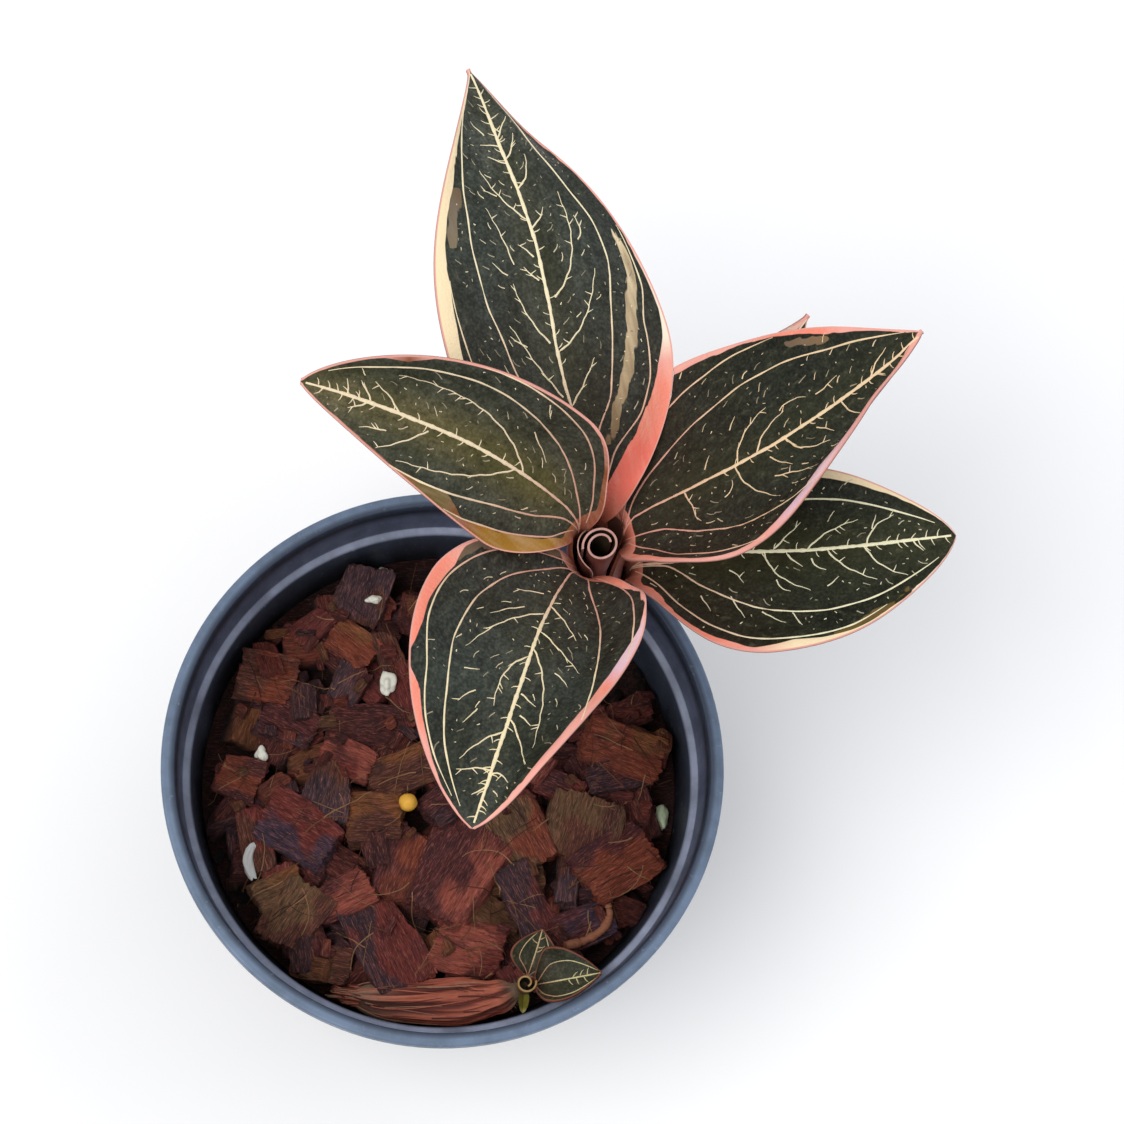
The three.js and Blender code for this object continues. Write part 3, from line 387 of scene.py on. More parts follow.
class Batch:
    """Many closed bodies gathered in one mesh, with a colour for each point and, on bark, its grain."""

    def __init__(self):
        self.verts, self.faces, self.tints, self.grains, self.count = [], [], [], [], 0

    def add(self, verts, faces, tints, grain=None):
        """A body in one colour, or in one for each point."""
        self.verts.append(verts)
        self.tints.append(np.broadcast_to(tints, (len(verts), 4)))
        self.grains.append(grain)
        self.faces += [tuple(self.count + i for i in face) for face in faces]
        self.count += len(verts)

    def tube(self, points, sideways, normals, widths, heights, section, tints):
        """Sweeps a section of (across, up) pairs along points."""
        rows, sides = len(points), len(section)
        across, up = np.array(section).T
        body = (
            points[:, None, :]
            + sideways[:, None, :] * (widths[:, None] * across[None, :])[:, :, None]
            + normals[:, None, :] * (heights[:, None] * up[None, :])[:, :, None]
        )
        faces = grid_faces(rows, sides, wrap=True)
        faces.append(tuple(range(sides)))
        faces.append(tuple(range(rows * sides - 1, (rows - 1) * sides - 1, -1)))
        self.add(body.reshape(-1, 3), faces, np.repeat(tints, sides, axis=0))

    def strand(self, points, radii, tint, sides=5):
        """A round strand along points."""
        points = np.asarray(points, dtype=float)
        along = np.gradient(points, axis=0)
        along /= np.linalg.norm(along, axis=1)[:, None] + 1e-9
        steep = abs(along[0][2]) >= 0.9
        sideways = np.cross(along, (1.0, 0.0, 0.0) if steep else (0.0, 0.0, 1.0))
        sideways /= np.linalg.norm(sideways, axis=1)[:, None] + 1e-9
        normals = np.cross(sideways, along)
        section = [(math.cos(a), math.sin(a)) for a in circle(sides)]
        radii = np.asarray(radii, dtype=float)
        self.tube(points, sideways, normals, radii, radii, section, np.tile(tint, (len(points), 1)))

    def piece(self, name, material, slot, sharp=60):
        verts, tints = np.concatenate(self.verts), np.concatenate(self.tints)
        return add_piece(name, verts, self.faces, material, tint_layer(tints), sharp)


# ---- materials -------------------------------------------------------------------------------
def new_material(name, **sockets):
    """A material of one shader, with values set on the shader's own sockets."""
    material = bpy.data.materials.new(name)
    material.use_nodes = True
    tree = material.node_tree
    tree.nodes.clear()
    shader = tree.nodes.new("ShaderNodeBsdfPrincipled")
    output = tree.nodes.new("ShaderNodeOutputMaterial")
    tree.links.new(shader.outputs["BSDF"], output.inputs["Surface"])
    for key, value in sockets.items():
        shader.inputs[key.replace("_", " ")].default_value = value
    return material, tree, shader


def feed(tree, socket, value):
    """Links an input to another node's socket, or sets it to a value."""
    if isinstance(value, bpy.types.NodeSocket):
        tree.links.new(value, socket)
    else:
        socket.default_value = value


def put(tree, kind, inputs=(), **settings):
    """A node with its settings, and its inputs linked from sockets or set to values."""
    made = tree.nodes.new("ShaderNode" + kind)
    for key, value in settings.items():
        setattr(made, key, value)
    for key, value in dict(inputs).items():
        feed(tree, made.inputs[key], value)
    return made


def attribute(tree, name, output="Fac"):
    """What the mesh holds at each point under a name."""
    return put(tree, "Attribute", attribute_name=name).outputs[output]


def object_mm(tree, scale=(1, 1, 1)):
    """Object coordinates in mm, stretched by scale."""
    place = put(tree, "TexCoord").outputs["Object"]
    inputs = {"Vector": place, "Scale": tuple(1000 * s for s in scale)}
    return put(tree, "Mapping", inputs).outputs["Vector"]


def mapped(tree, vector, scale):
    """A vector stretched by scale, so that a noise along an axis of 0.1 changes over 10 mm."""
    return put(tree, "Mapping", {"Vector": vector, "Scale": scale}).outputs["Vector"]


def noise_value(tree, vector, detail, roughness=0.5):
    """Noise from 0 to 1, mostly near 0.5, that changes about once in a unit of the vector."""
    inputs = {"Vector": vector, "Scale": 1.0, "Detail": detail, "Roughness": roughness}
    return put(tree, "TexNoise", inputs).outputs["Fac"]


def remap(tree, value, low, high, to_low=0.0, to_high=1.0):
    """A value moved from one span to another and held within it."""
    inputs = {
        "Value": value, "From Min": low, "From Max": high, "To Min": to_low, "To Max": to_high,
    }
    return put(tree, "MapRange", inputs, clamp=True).outputs["Result"]


def math_node(tree, operation, first, second):
    """Two values added, multiplied or the like."""
    made = put(tree, "Math", operation=operation)
    for socket, value in zip(made.inputs, (first, second)):
        feed(tree, socket, value)
    return made.outputs[0]


def blend(tree, factor, first, second):
    """The first colour turned into the second by a factor."""
    made = put(tree, "Mix", data_type="RGBA", blend_type="MIX")
    factor_in, first_in, second_in, mixed = 0, 6, 7, 2  # a colour mix's own sockets
    feed(tree, made.inputs[factor_in], factor)
    feed(tree, made.inputs[first_in], first)
    feed(tree, made.inputs[second_in], second)
    return made.outputs[mixed]


def bump(tree, shader, height, strength, distance):
    """Fine relief, its depth in mm."""
    inputs = {"Height": height, "Strength": strength, "Distance": distance * MM}
    made = put(tree, "Bump", inputs)
    tree.links.new(made.outputs["Normal"], shader.inputs["Normal"])


# Colours of the blade: its green in two depths, near the sheath, in olive and in painted glints on its
# pebbles; the painted sheen on it; its specks; the streaks in patches and margins; its underside.
BLADE_DARK, BLADE_GREEN = rgb(16, 20, 14), rgb(31, 35, 24)
BLADE_BASE, BLADE_OLIVE, BLADE_PEBBLE_GLINT = rgb(40, 30, 22), rgb(70, 70, 28), rgb(64, 66, 51)
BLADE_LIT, OLIVE_LIT = rgb(87, 96, 93), rgb(138, 115, 60)
SPECK_DARK, SPECK_PALE = rgb(16, 16, 10), rgb(118, 116, 92)
PATCH_STREAK, MARGIN_STREAK = rgb(112, 88, 58), rgb(248, 222, 200)
BACK_DARK, BACK_LIGHT = rgb(96, 56, 52), rgb(128, 78, 68)
# How each noise on the blade is stretched along, across and through it, per mm.
BLADE_CLOUD, BLADE_STREAK, BLADE_RAGGED = (0.13, 0.2, 1.0), (0.1, 0.5, 1.0), (0.05, 0.12, 1.0)
BLADE_SHEEN, BLADE_MOTTLE = (0.07, 0.11, 1.0), (0.45, 0.7, 1.0)
PEBBLES_PER_MM = 2.1


def leaf_material():
    """The blade: near-black green, pebbled with painted glints, with painted sheen, crisp coloured
    margins and a brown-pink back.
    """
    material, tree, shader = new_material("leaf_blade", Specular_IOR_Level=0.15)
    zones = put(tree, "SeparateXYZ", {"Vector": attribute(tree, "zones", "Vector")})
    tone_and_sheen = put(tree, "SeparateXYZ", {"Vector": attribute(tree, "tone_and_sheen", "Vector")})
    in_margin, in_patch, from_edge = (zones.outputs[axis] for axis in "XYZ")
    olive, base, bright = (tone_and_sheen.outputs[axis] for axis in "XYZ")
    place = attribute(tree, "place", "Vector")
    under = put(tree, "SeparateXYZ", {"Vector": place}).outputs["Z"]
    pebbles = {"Vector": place, "Scale": PEBBLES_PER_MM}
    cells = put(tree, "TexVoronoi", pebbles, feature="SMOOTH_F1").outputs["Distance"]
    cloud = noise_value(tree, mapped(tree, place, BLADE_CLOUD), 3.0)
    streaks = noise_value(tree, mapped(tree, place, BLADE_STREAK), 2.0)
    ragged = noise_value(tree, mapped(tree, place, BLADE_RAGGED), 1.0)

    green = blend(tree, remap(tree, cloud, 0.35, 0.68), BLADE_DARK, BLADE_GREEN)
    green = blend(tree, base, green, BLADE_BASE)
    green = blend(tree, olive, green, BLADE_OLIVE)
    # painted glints: the pebbles' centres are lighter
    pebbled = blend(tree, remap(tree, cells, 0.1, 0.6), BLADE_PEBBLE_GLINT, green)
    face = blend(tree, 0.4, green, pebbled)

    # painted sheen in uneven patches, strongest on the pebbles' centres
    lit = blend(tree, olive, BLADE_LIT, OLIVE_LIT)
    sheen = noise_value(tree, mapped(tree, place, BLADE_SHEEN), 2.0)
    sheen = remap(tree, sheen, 0.35, 0.65, 0.35, 1.6)
    sheen = math_node(tree, "MULTIPLY", sheen, remap(tree, cells, 0.1, 0.6, 1.0, 0.45))
    face = blend(tree, math_node(tree, "MULTIPLY", bright, sheen), face, lit)

    mottle = noise_value(tree, mapped(tree, place, BLADE_MOTTLE), 5.0, 0.7)
    face = blend(tree, remap(tree, mottle, 0.5, 0.68, 0.0, 0.6), face, SPECK_DARK)
    face = blend(tree, remap(tree, mottle, 0.44, 0.3, 0.0, 0.3), face, SPECK_PALE)

    loose = remap(tree, ragged, 0.55, 0.72, 0.2, 1.3)
    stray = math_node(tree, "MULTIPLY", remap(tree, streaks, 0.25, 0.75, -0.6, 0.6), loose)
    torn = math_node(tree, "ADD", in_patch, remap(tree, streaks, 0.3, 0.7, -0.6, 0.6))
    patch = remap(tree, torn, -0.1, 0.1)
    patch_streaks = remap(tree, streaks, 0.42, 0.66, 0.0, 0.55)
    patch_tint = blend(tree, patch_streaks, attribute(tree, "patch_color", "Color"), PATCH_STREAK)
    face = blend(tree, patch, face, patch_tint)

    margin = remap(tree, math_node(tree, "ADD", in_margin, stray), -0.06, 0.06)
    margin_streaks = remap(tree, streaks, 0.45, 0.7, 0.0, 0.14)
    margin_tint = blend(tree, margin_streaks, attribute(tree, "margin_color", "Color"), MARGIN_STREAK)
    face = blend(tree, margin, face, margin_tint)
    edge = remap(tree, from_edge, 0.18, 0.34, 1.0, 0.0)
    face = blend(tree, edge, face, attribute(tree, "edge_color", "Color"))

    back = blend(tree, remap(tree, cloud, 0.3, 0.7), BACK_DARK, BACK_LIGHT)
    face = blend(tree, under, face, back)
    tree.links.new(face, shader.inputs["Base Color"])
    tree.links.new(remap(tree, cells, 0.1, 0.6, 0.36, 0.52), shader.inputs["Roughness"])
    bump(tree, shader, cells, 0.55, 0.16)
    return material


def tinted_material(name, roughness, grain, depth, spread):
    """A surface in its points' own tint, darkened and raised a little by noise."""
    material, tree, shader = new_material(name, Roughness=roughness, Specular_IOR_Level=0.35)
    cells = noise_value(tree, object_mm(tree, grain), 3.0)
    tint = attribute(tree, "tint", "Color")
    shade = blend(tree, remap(tree, cells, 0.3, 0.75, 0.0, spread * 2), tint, rgb(0, 0, 0))
    tree.links.new(blend(tree, 0.5, tint, shade), shader.inputs["Base Color"])
    bump(tree, shader, cells, 0.4, depth)
    return material


# Colours of bark: what reddens it, its dark and its light grain, its damp blots and the painted shade
# in its hollows.
BARK_RED, BARK_DARK, BARK_LIGHT = rgb(98, 26, 24), rgb(20, 9, 10), rgb(214, 132, 112)
BARK_DAMP, BARK_PAINTED_SHADE = rgb(34, 22, 30), rgb(13, 7, 7)
# How each noise on it is stretched along and across its grain, per mm.
BARK_STREAK, BARK_BLOTCH, BARK_FIBRE = (0.3, 2.2, 2.2), (0.16, 0.25, 0.25), (0.7, 6.5, 6.5)


def bark_material():
    """Bark in each piece's own tint, streaked along its grain and darkened by painted shade in the
    hollows.
    """
    material, tree, shader = new_material("bark", Specular_IOR_Level=0.3)
    grain = attribute(tree, "grain", "Vector")
    streaks = noise_value(tree, mapped(tree, grain, BARK_STREAK), 6.0, 0.72)
    blotch = noise_value(tree, mapped(tree, grain, BARK_BLOTCH), 3.0)
    fine = noise_value(tree, mapped(tree, grain, BARK_FIBRE), 3.0, 0.6)
    tint = blend(tree, 0.16, attribute(tree, "tint", "Color"), BARK_RED)
    dark = blend(tree, 0.74, tint, BARK_DARK)
    light = blend(tree, 0.5, tint, BARK_LIGHT)
    wood = blend(tree, remap(tree, streaks, 0.34, 0.52), dark, tint)
    wood = blend(tree, remap(tree, streaks, 0.54, 0.74, 0.0, 0.75), wood, light)
    wood = blend(tree, remap(tree, blotch, 0.52, 0.7, 0.0, 0.5), wood, BARK_DAMP)
    wood = blend(tree, remap(tree, fine, 0.55, 0.68, 0.0, 0.75), wood, light)
    wood = blend(tree, remap(tree, fine, 0.45, 0.32, 0.0, 0.65), wood, dark)
    # painted shade, as strong as the shade attribute
    wood = blend(tree, attribute(tree, "shade"), wood, BARK_PAINTED_SHADE)
    tree.links.new(wood, shader.inputs["Base Color"])
    tree.links.new(remap(tree, blotch, 0.3, 0.7, 0.42, 0.8), shader.inputs["Roughness"])
    relief = math_node(tree, "ADD", streaks, math_node(tree, "MULTIPLY", fine, 0.6))
    bump(tree, shader, relief, 1.0, 0.9)
    return material


def pot_material():
    """Satin plastic in its points' own tint, clouded dark and specked with pale water marks."""
    material, tree, shader = new_material("nursery_pot", Specular_IOR_Level=0.4)
    place = object_mm(tree)
    speck = noise_value(tree, mapped(tree, place, (0.8, 0.8, 0.8)), 4.0, 0.7)
    cloud = noise_value(tree, mapped(tree, place, (0.22, 0.22, 0.1)), 4.0, 0.6)
    tint = attribute(tree, "tint", "Color")
    body = blend(tree, remap(tree, cloud, 0.36, 0.66, 0.0, 0.32), tint, rgb(34, 38, 48))
    body = blend(tree, remap(tree, speck, 0.62, 0.72, 0.0, 0.3), body, rgb(150, 160, 178))
    tree.links.new(body, shader.inputs["Base Color"])
    tree.links.new(remap(tree, cloud, 0.3, 0.7, 0.36, 0.52), shader.inputs["Roughness"])
    bump(tree, shader, speck, 0.15, 0.06)
    return material


# ---- leaf law --------------------------------------------------------------------------------
WALK_STEP = 0.05  # mm between the points of a leaf's middle line
OUTSIDE = -9.0  # mm, the distance into a margin or patch where there is none
MIDRIB_FURROW, VEIN_FURROWS, PILLOW = 0.2, (0.16, 0.1), 0.16  # mm deep, deep and high
MIDRIB_FURROW_REACH, VEIN_FURROW_REACH = 0.9, 0.8  # mm to each side
BLADE_MESH, SMALL_BLADE_MESH, CUTTER_MESH = (130, 49), (60, 31), (24, 13)  # rows and columns
CUTTER_EXTRA = 0.12  # mm by which a leaf is thicker when it cuts the ones outside it


def stem_centre(z):
    """The stem's middle at a height: it leans out of the mix and then stands upright."""
    climbed = np.clip((z - STEM_FOOT[2]) / (STEM_UPRIGHT_FROM - STEM_FOOT[2]), 0, 1)
    x, y = lerp(STEM_FOOT[:2], CROWN[:2], 1 - (1 - climbed) ** 2)
    return np.array((x, y, z))


def stem_radius(z):
    """The stem's radius at a height, without its swellings."""
    return lerp(STEM_RADIUS_FOOT, STEM_RADIUS_TOP, (z - STEM_FOOT[2]) / (CROWN[2] - STEM_FOOT[2]))


class Leaf:
    """A leaf's curve and sections: s runs along it from its foot, v across it from -1 to 1."""

    def __init__(self, spec, axis, clasp, sheath, scale):
        self.spec, self.clasp, self.sheath, self.scale = spec, clasp, sheath, scale
        self.blade_from = sheath + spec["petiole"]
        self.end = self.blade_from + spec["length"]
        steps = int(round(self.end / WALK_STEP))
        self.walk = np.linspace(0, self.end, steps + 1)
        middle = (self.walk[1:] + self.walk[:-1]) / 2
        moves = direction(self.pitch(middle), self.heading(middle)) * (self.end / steps)
        start = axis + ring(clasp, math.radians(spec["azimuth"]), 0)
        self.points = np.vstack([start, start + np.cumsum(moves, axis=0)])

    def share(self, s):
        """The share of the blade's length that is passed at s; 0 on the petiole."""
        return np.clip((s - self.blade_from) / self.spec["length"], 0, 1)

    def pitch(self, s):
        """How steeply the leaf climbs: its sheath near upright, then bending over and drooping."""
        t = self.share(s)
        unbent = np.maximum(0, 1 - t / BEND_SHARE) ** 2
        spec = self.spec
        blade = np.radians(lerp(spec["rise"] - spec["droop"] * t, spec["erect"], unbent))
        if not self.sheath:
            return blade
        return np.where(s < self.sheath, math.pi / 2 - math.asin(SHEATH_FLARE / self.sheath), blade)

    def heading(self, s):
        """Where the leaf points, seen from above."""
        azimuth, sweep = math.radians(self.spec["azimuth"]), math.radians(self.spec["sweep"])
        return azimuth + sweep * self.share(s)

    def outline(self, t):
        """The blade's width as a share of its widest."""
        widest, taper = self.spec["widest"], self.spec["taper"]
        inner = np.sin(np.minimum(t / widest, 1) * np.pi / 2) ** 0.7
        outer = np.sin(np.minimum((1 - t) / (1 - widest), 1) * np.pi / 2) ** taper
        return inner * outer

    def size(self, s):
        """Half the angle a section curls round, and half its width round the curl."""
        spec, t = self.spec, self.share(s)
        to_petiole = smooth((s - self.sheath) / spec["petiole"])
        petiole = PETIOLE_HALF_WIDTH * self.scale
        if self.sheath:
            mouth_wrap = SHEATH_WRAP[1]
            mouth = math.radians(mouth_wrap) * (self.clasp + 0.5 * SHEATH_FLARE)
        else:
            mouth_wrap, mouth = PETIOLE_WRAP, petiole
        stalk = lerp(mouth, petiole, to_petiole) * (1 - t) ** 8
        curl = lerp(mouth_wrap, PETIOLE_WRAP, to_petiole)
        wrap = np.radians(lerp(spec["cup"], curl, (1 - t) ** 9))
        half = np.maximum(np.hypot(stalk, spec["half"] * self.outline(t)), TIP_HALF_WIDTH)
        if self.sheath:
            climb = np.clip(s / self.sheath, 0, 1)
            clasped = np.radians(lerp(SHEATH_WRAP[0], SHEATH_WRAP[1], climb))
            round_stem = clasped * (self.clasp + 0.5 * SHEATH_FLARE * climb)
            half = np.where(s < self.sheath, round_stem, half)
            wrap = np.where(s < self.sheath, clasped, wrap)
        return wrap, half

    def side(self, s, v):
        """The width of the half of the leaf that v lies on."""
        lean = self.spec["lean"] * smooth(4 * self.share(s))
        return self.size(s)[1] * (1 + np.sign(v) * lean)

    def at(self, s, v, height=0.0, extra=0.0):
        """Points of the leaf's middle surface, raised by height along its normal."""
        s, v = np.broadcast_arrays(np.asarray(s, dtype=float), np.asarray(v, dtype=float))
        spec, t = self.spec, self.share(s)
        heading = self.heading(s)
        along = direction(self.pitch(s), heading)
        level = np.stack([-np.sin(heading), np.cos(heading), np.zeros_like(heading)], axis=-1)
        roll = np.radians(spec["roll"]) * smooth((s - self.sheath) / spec["petiole"])
        left = level * np.cos(roll)[..., None] + np.cross(along, level) * np.sin(roll)[..., None]
        up = np.cross(along, left)
        point = np.stack([np.interp(s, self.walk, self.points[:, k]) for k in range(3)], axis=-1)
        wrap, half = self.size(s)
        half = half + extra
        side = half * (1 + np.sign(v) * spec["lean"] * smooth(4 * t))
        bend = np.abs(v) * wrap
        ends = smooth(t * MARGIN_FADE) * smooth((1 - t) * MARGIN_FADE)
        margin = ends * smooth((np.abs(v) - MARGIN_FROM) / (1 - MARGIN_FROM))
        ripple = spec["wave"][0] * np.sin(spec["wave"][1] + RIPPLE_SLANT * v + 4 * np.pi * t)
        lift = margin * (np.where(v < 0, spec["edges"][0], spec["edges"][1]) + ripple)
        out = np.sign(v) * (side / wrap) * np.sin(bend)
        rise = (side / wrap) * (1 - np.cos(bend)) + lift
        normal = up * np.cos(bend)[..., None] - left * (np.sign(v) * np.sin(bend))[..., None]
        raised = np.broadcast_to(np.asarray(height, dtype=float), s.shape)
        return point + left * out[..., None] + up * rise[..., None] + normal * raised[..., None]

    def middle(self, t):
        """How far the midrib strays to the left, in mm."""
        shares, strays = zip(*self.spec["middle"])
        return np.interp(t, shares, strays)

    def vein_place(self, t, side, order):
        """Where across the blade its inner (0) or outer (1) long vein lies."""
        points = self.spec.get("veins", {}).get((side, order))
        if points:
            return np.interp(t, *zip(*points))
        return (0.88 * np.sqrt(t) + 0.07 * t ** 4, 0.965 * np.maximum(t, 1e-6) ** 0.18)[order]

    def relief(self, s, v):
        """Low relief of the upper face: furrows over the veins, pillows between them."""
        t = self.share(s)
        half = self.side(s, v)
        aside = (v * half - self.middle(t)) / MIDRIB_FURROW_REACH
        furrow = MIDRIB_FURROW * np.exp(-aside ** 2)
        for order, depth in enumerate(VEIN_FURROWS):
            place = np.where(v > 0, self.vein_place(t, 1, order), self.vein_place(t, -1, order))
            furrow = furrow + depth * np.exp(-((np.abs(v) - place) * half / VEIN_FURROW_REACH) ** 2)
        sway = PILLOW * np.sin(0.55 * s + 2.1 * np.sign(v)) * np.sin(np.pi * np.abs(v))
        return smooth(t * 12) * self.scale * (sway - furrow)


def leaf_grid(leaf, rows, columns):
    """Stations and places across for the fine mesh, closer at the foot, margins and tip."""
    parts = []
    if leaf.sheath:
        parts.append(np.linspace(0, leaf.sheath, 7)[:-1])
    parts.append(np.linspace(leaf.sheath, leaf.blade_from, 15 if leaf.sheath else 4)[:-1])
    t = np.linspace(0, 1, rows)
    parts.append(leaf.blade_from + leaf.spec["length"] * (t - 0.035 * np.sin(2 * np.pi * t)))
    s = np.concatenate(parts)
    even = np.linspace(-1, 1, columns)
    return s, np.sin(even * np.pi / 2) * 0.55 + even * 0.45


def zone_fields(leaf, s, v):
    """Signed distances in mm into the coloured margin and patches, and their colours."""
    t = leaf.share(s)
    half = leaf.side(s, v)
    inward = half * (1 - np.abs(v))
    margin = np.full(s.shape, OUTSIDE)
    margin_color = np.zeros((*s.shape, 4))
    for side, stops in leaf.spec["margins"].items():
        on_side = (np.sign(v) == side) | (v == 0)
        shares = [stop[0] for stop in stops]
        reach = np.interp(t, shares, [stop[1] for stop in stops])
        color = np.stack([
            np.interp(t, shares, [stop[2][k] for stop in stops]) for k in range(4)
        ], axis=-1)
        margin = np.where(on_side, reach - inward, margin)
        margin_color = np.where(on_side[..., None], color, margin_color)
    patch = np.full(s.shape, OUTSIDE)
    patch_color = np.zeros((*s.shape, 4))
    for side, places, width, color_a, color_b in leaf.spec["patches"]:
        shares, across = zip(*places)
        share = (t - shares[0]) / (shares[-1] - shares[0])
        swell = np.sin(np.pi * np.clip(share, 0, 1)) ** 0.4
        stray = np.abs(side * v - np.interp(t, shares, across)) * half
        field = width * swell - stray - 3 * (swell < 0.02)
        field = np.where(np.sign(v) == side, field, OUTSIDE)
        color = lerp(color_a, color_b, np.clip(share, 0, 1)[..., None])
        patch_color = np.where((field > patch)[..., None], color, patch_color)
        patch = np.maximum(patch, field)
    return margin, margin_color, patch, patch_color, inward


def leaf_attributes(leaf, s, v, under):
    """What the blade's material reads at each point."""
    margin, margin_color, patch, patch_color, inward = zone_fields(leaf, s, v)
    t = leaf.share(s)
    half = leaf.side(s, v)
    stalk = 1 - smooth(t * 12)
    near = np.exp(-(((v * half - leaf.middle(t)) / 5.0) ** 2)) * smooth(t * 4) * (1 - 0.4 * t)
    olive = leaf.spec["olive"] * (0.1 + 0.8 * near)
    base = 1 - smooth((t - 0.1) / 0.55)
    # the share of painted sheen, from foot to tip and stronger away from the margins
    first, last = leaf.spec["bright"]
    bright = lerp(first, last, t) * (0.55 + 0.45 * smooth(1.2 - np.abs(v)))
    sheath = lerp(MAROON, SHEATH, smooth((s - 3) / 8)[..., None])
    edge_color = lerp(leaf.spec.get("edge", EDGE_PINK), sheath, stalk[..., None])
    margin = np.maximum(margin, 6 * stalk - 2.5)
    margin_color = lerp(margin_color, sheath, stalk[..., None])
    place = np.stack([s + 40 * leaf.spec["seed"], v * half, under], axis=-1)
    return {
        "zones": ("FLOAT_VECTOR", np.stack([margin, patch, inward], axis=-1)),
        "place": ("FLOAT_VECTOR", place),
        "tone_and_sheen": ("FLOAT_VECTOR", np.stack([olive, base, bright], axis=-1)),
        "margin_color": ("FLOAT_COLOR", margin_color),
        "patch_color": ("FLOAT_COLOR", patch_color),
        "edge_color": ("FLOAT_COLOR", edge_color),
    }


def thinning(leaf, s, v):
    """The share of the blade's thickness that is left towards the margins."""
    return 1 - 0.5 * smooth((np.abs(v) - 0.55) / 0.45) * smooth(leaf.share(s) * 6)


def leaf_sheet(leaf, s, v, extra=0.0, fine=True):
    """The upper and lower face of blade, petiole and sheath at stations s and places v."""
    s_grid, v_grid = np.meshgrid(s, v, indexing="ij")
    t = leaf.share(s_grid)
    body = BLADE_THICKNESS / 2
    thin = thinning(leaf, s_grid, v_grid) if fine else 1.0
    relief = leaf.relief(s_grid, v_grid) if fine else 0.0
    across = np.abs(v_grid) * leaf.side(s_grid, v_grid)
    bulge = np.exp(-(across / 1.1) ** 2) if fine else (v_grid == 0)
    keel = MIDRIB_KEEL * leaf.scale * smooth((1 - t) * 1.5) * bulge
    upper = leaf.at(s_grid, v_grid, body * thin + relief + extra, extra)
    lower = leaf.at(s_grid, v_grid, -body * thin + relief - keel - extra, extra)
    return upper, lower, s_grid, v_grid


def raw_object(verts, faces):
    """A passing object for the boolean cut."""
    mesh = bpy.data.meshes.new("raw")
    mesh.from_pydata((np.asarray(verts) * MM).tolist(), [], faces)
    made = bpy.data.objects.new("raw", mesh)
    bpy.context.scene.collection.objects.link(made)
    return made


def cut(verts, faces, cutters):
    """The closed mesh without what lies inside the cutters, each a pair of points and faces."""
    body = raw_object(verts, faces)
    tools = [raw_object(*cutter) for cutter in cutters]
    for tool in tools:
        modifier = body.modifiers.new("cut", "BOOLEAN")
        modifier.operation, modifier.solver, modifier.object = "DIFFERENCE", "MANIFOLD", tool
    result = body.evaluated_get(bpy.context.evaluated_depsgraph_get()).to_mesh()
    points = np.empty(len(result.vertices) * 3)
    result.vertices.foreach_get("co", points)
    polygons = [tuple(p.vertices) for p in result.polygons]
    for made in [body, *tools]:
        bpy.data.objects.remove(made)
    return points.reshape(-1, 3) / MM, polygons


def largest_part(verts, faces):
    """The biggest connected body of a mesh, without scraps."""
    parent = list(range(len(verts)))

    def root(i):
        while parent[i] != i:
            parent[i] = parent[parent[i]]
            i = parent[i]
        return i

    for face in faces:
        first = root(face[0])
        for other in face[1:]:
            parent[root(other)] = first
    roots = np.array([root(i) for i in range(len(verts))])
    names, counts = np.unique(roots, return_counts=True)
    keep = roots == names[counts.argmax()]
    order = np.cumsum(keep) - 1
    kept = [tuple(int(order[i]) for i in face) for face in faces if keep[face[0]]]
    return verts[keep], kept


def nearest(points, sources):
    """The index of the source nearest to each point."""
    tree = KDTree(len(sources))
    for i, point in enumerate(sources):
        tree.insert(point, i)
    tree.balance()
    return np.array([tree.find(point)[1] for point in points])


def build_leaf(leaf, material, cutters, rows, columns):
    """A leaf's fine mesh, cut clear of the leaves inside it."""
    s, v = leaf_grid(leaf, rows, columns)
    upper, lower, s_grid, v_grid = leaf_sheet(leaf, s, v)
    verts, faces = sheet_mesh(upper, lower)
    at_s, at_v = np.tile(s_grid.ravel(), 2), np.tile(v_grid.ravel(), 2)
    under = np.repeat((0.0, 1.0), s_grid.size)
    if cutters:
        sources = verts
        verts, faces = largest_part(*cut(verts, faces, cutters))
        found = nearest(verts, sources)
        at_s, at_v, under = at_s[found], at_v[found], under[found]
    attributes = leaf_attributes(leaf, at_s, at_v, under)
    name = leaf.spec["name"]
    piece = add_piece(name + "_blade", verts, faces, material, attributes, 50)
    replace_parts(piece, name)
    return piece


# ---- veins -----------------------------------------------------------------------------------
# Cross-sections of a vein as (across, up), of its half width and of its height.
RIDGE = [(1.0, -0.3), (0.55, 0.75), (0.0, 1.0), (-0.55, 0.75), (-1.0, -0.3), (0.0, -1.6)]
FINE_RIDGE = [(1.0, -0.3), (0.0, 1.0), (-1.0, -0.3), (0.0, -1.6)]
VEIN_STEP = 0.45  # mm between the points of a branch
EDGE_CLEARANCE = 0.5  # mm between a branch and the margin
BRANCH_HALF_WIDTH = 0.19  # mm
LEAST_POINTS = 3  # of a vein that is worth drawing


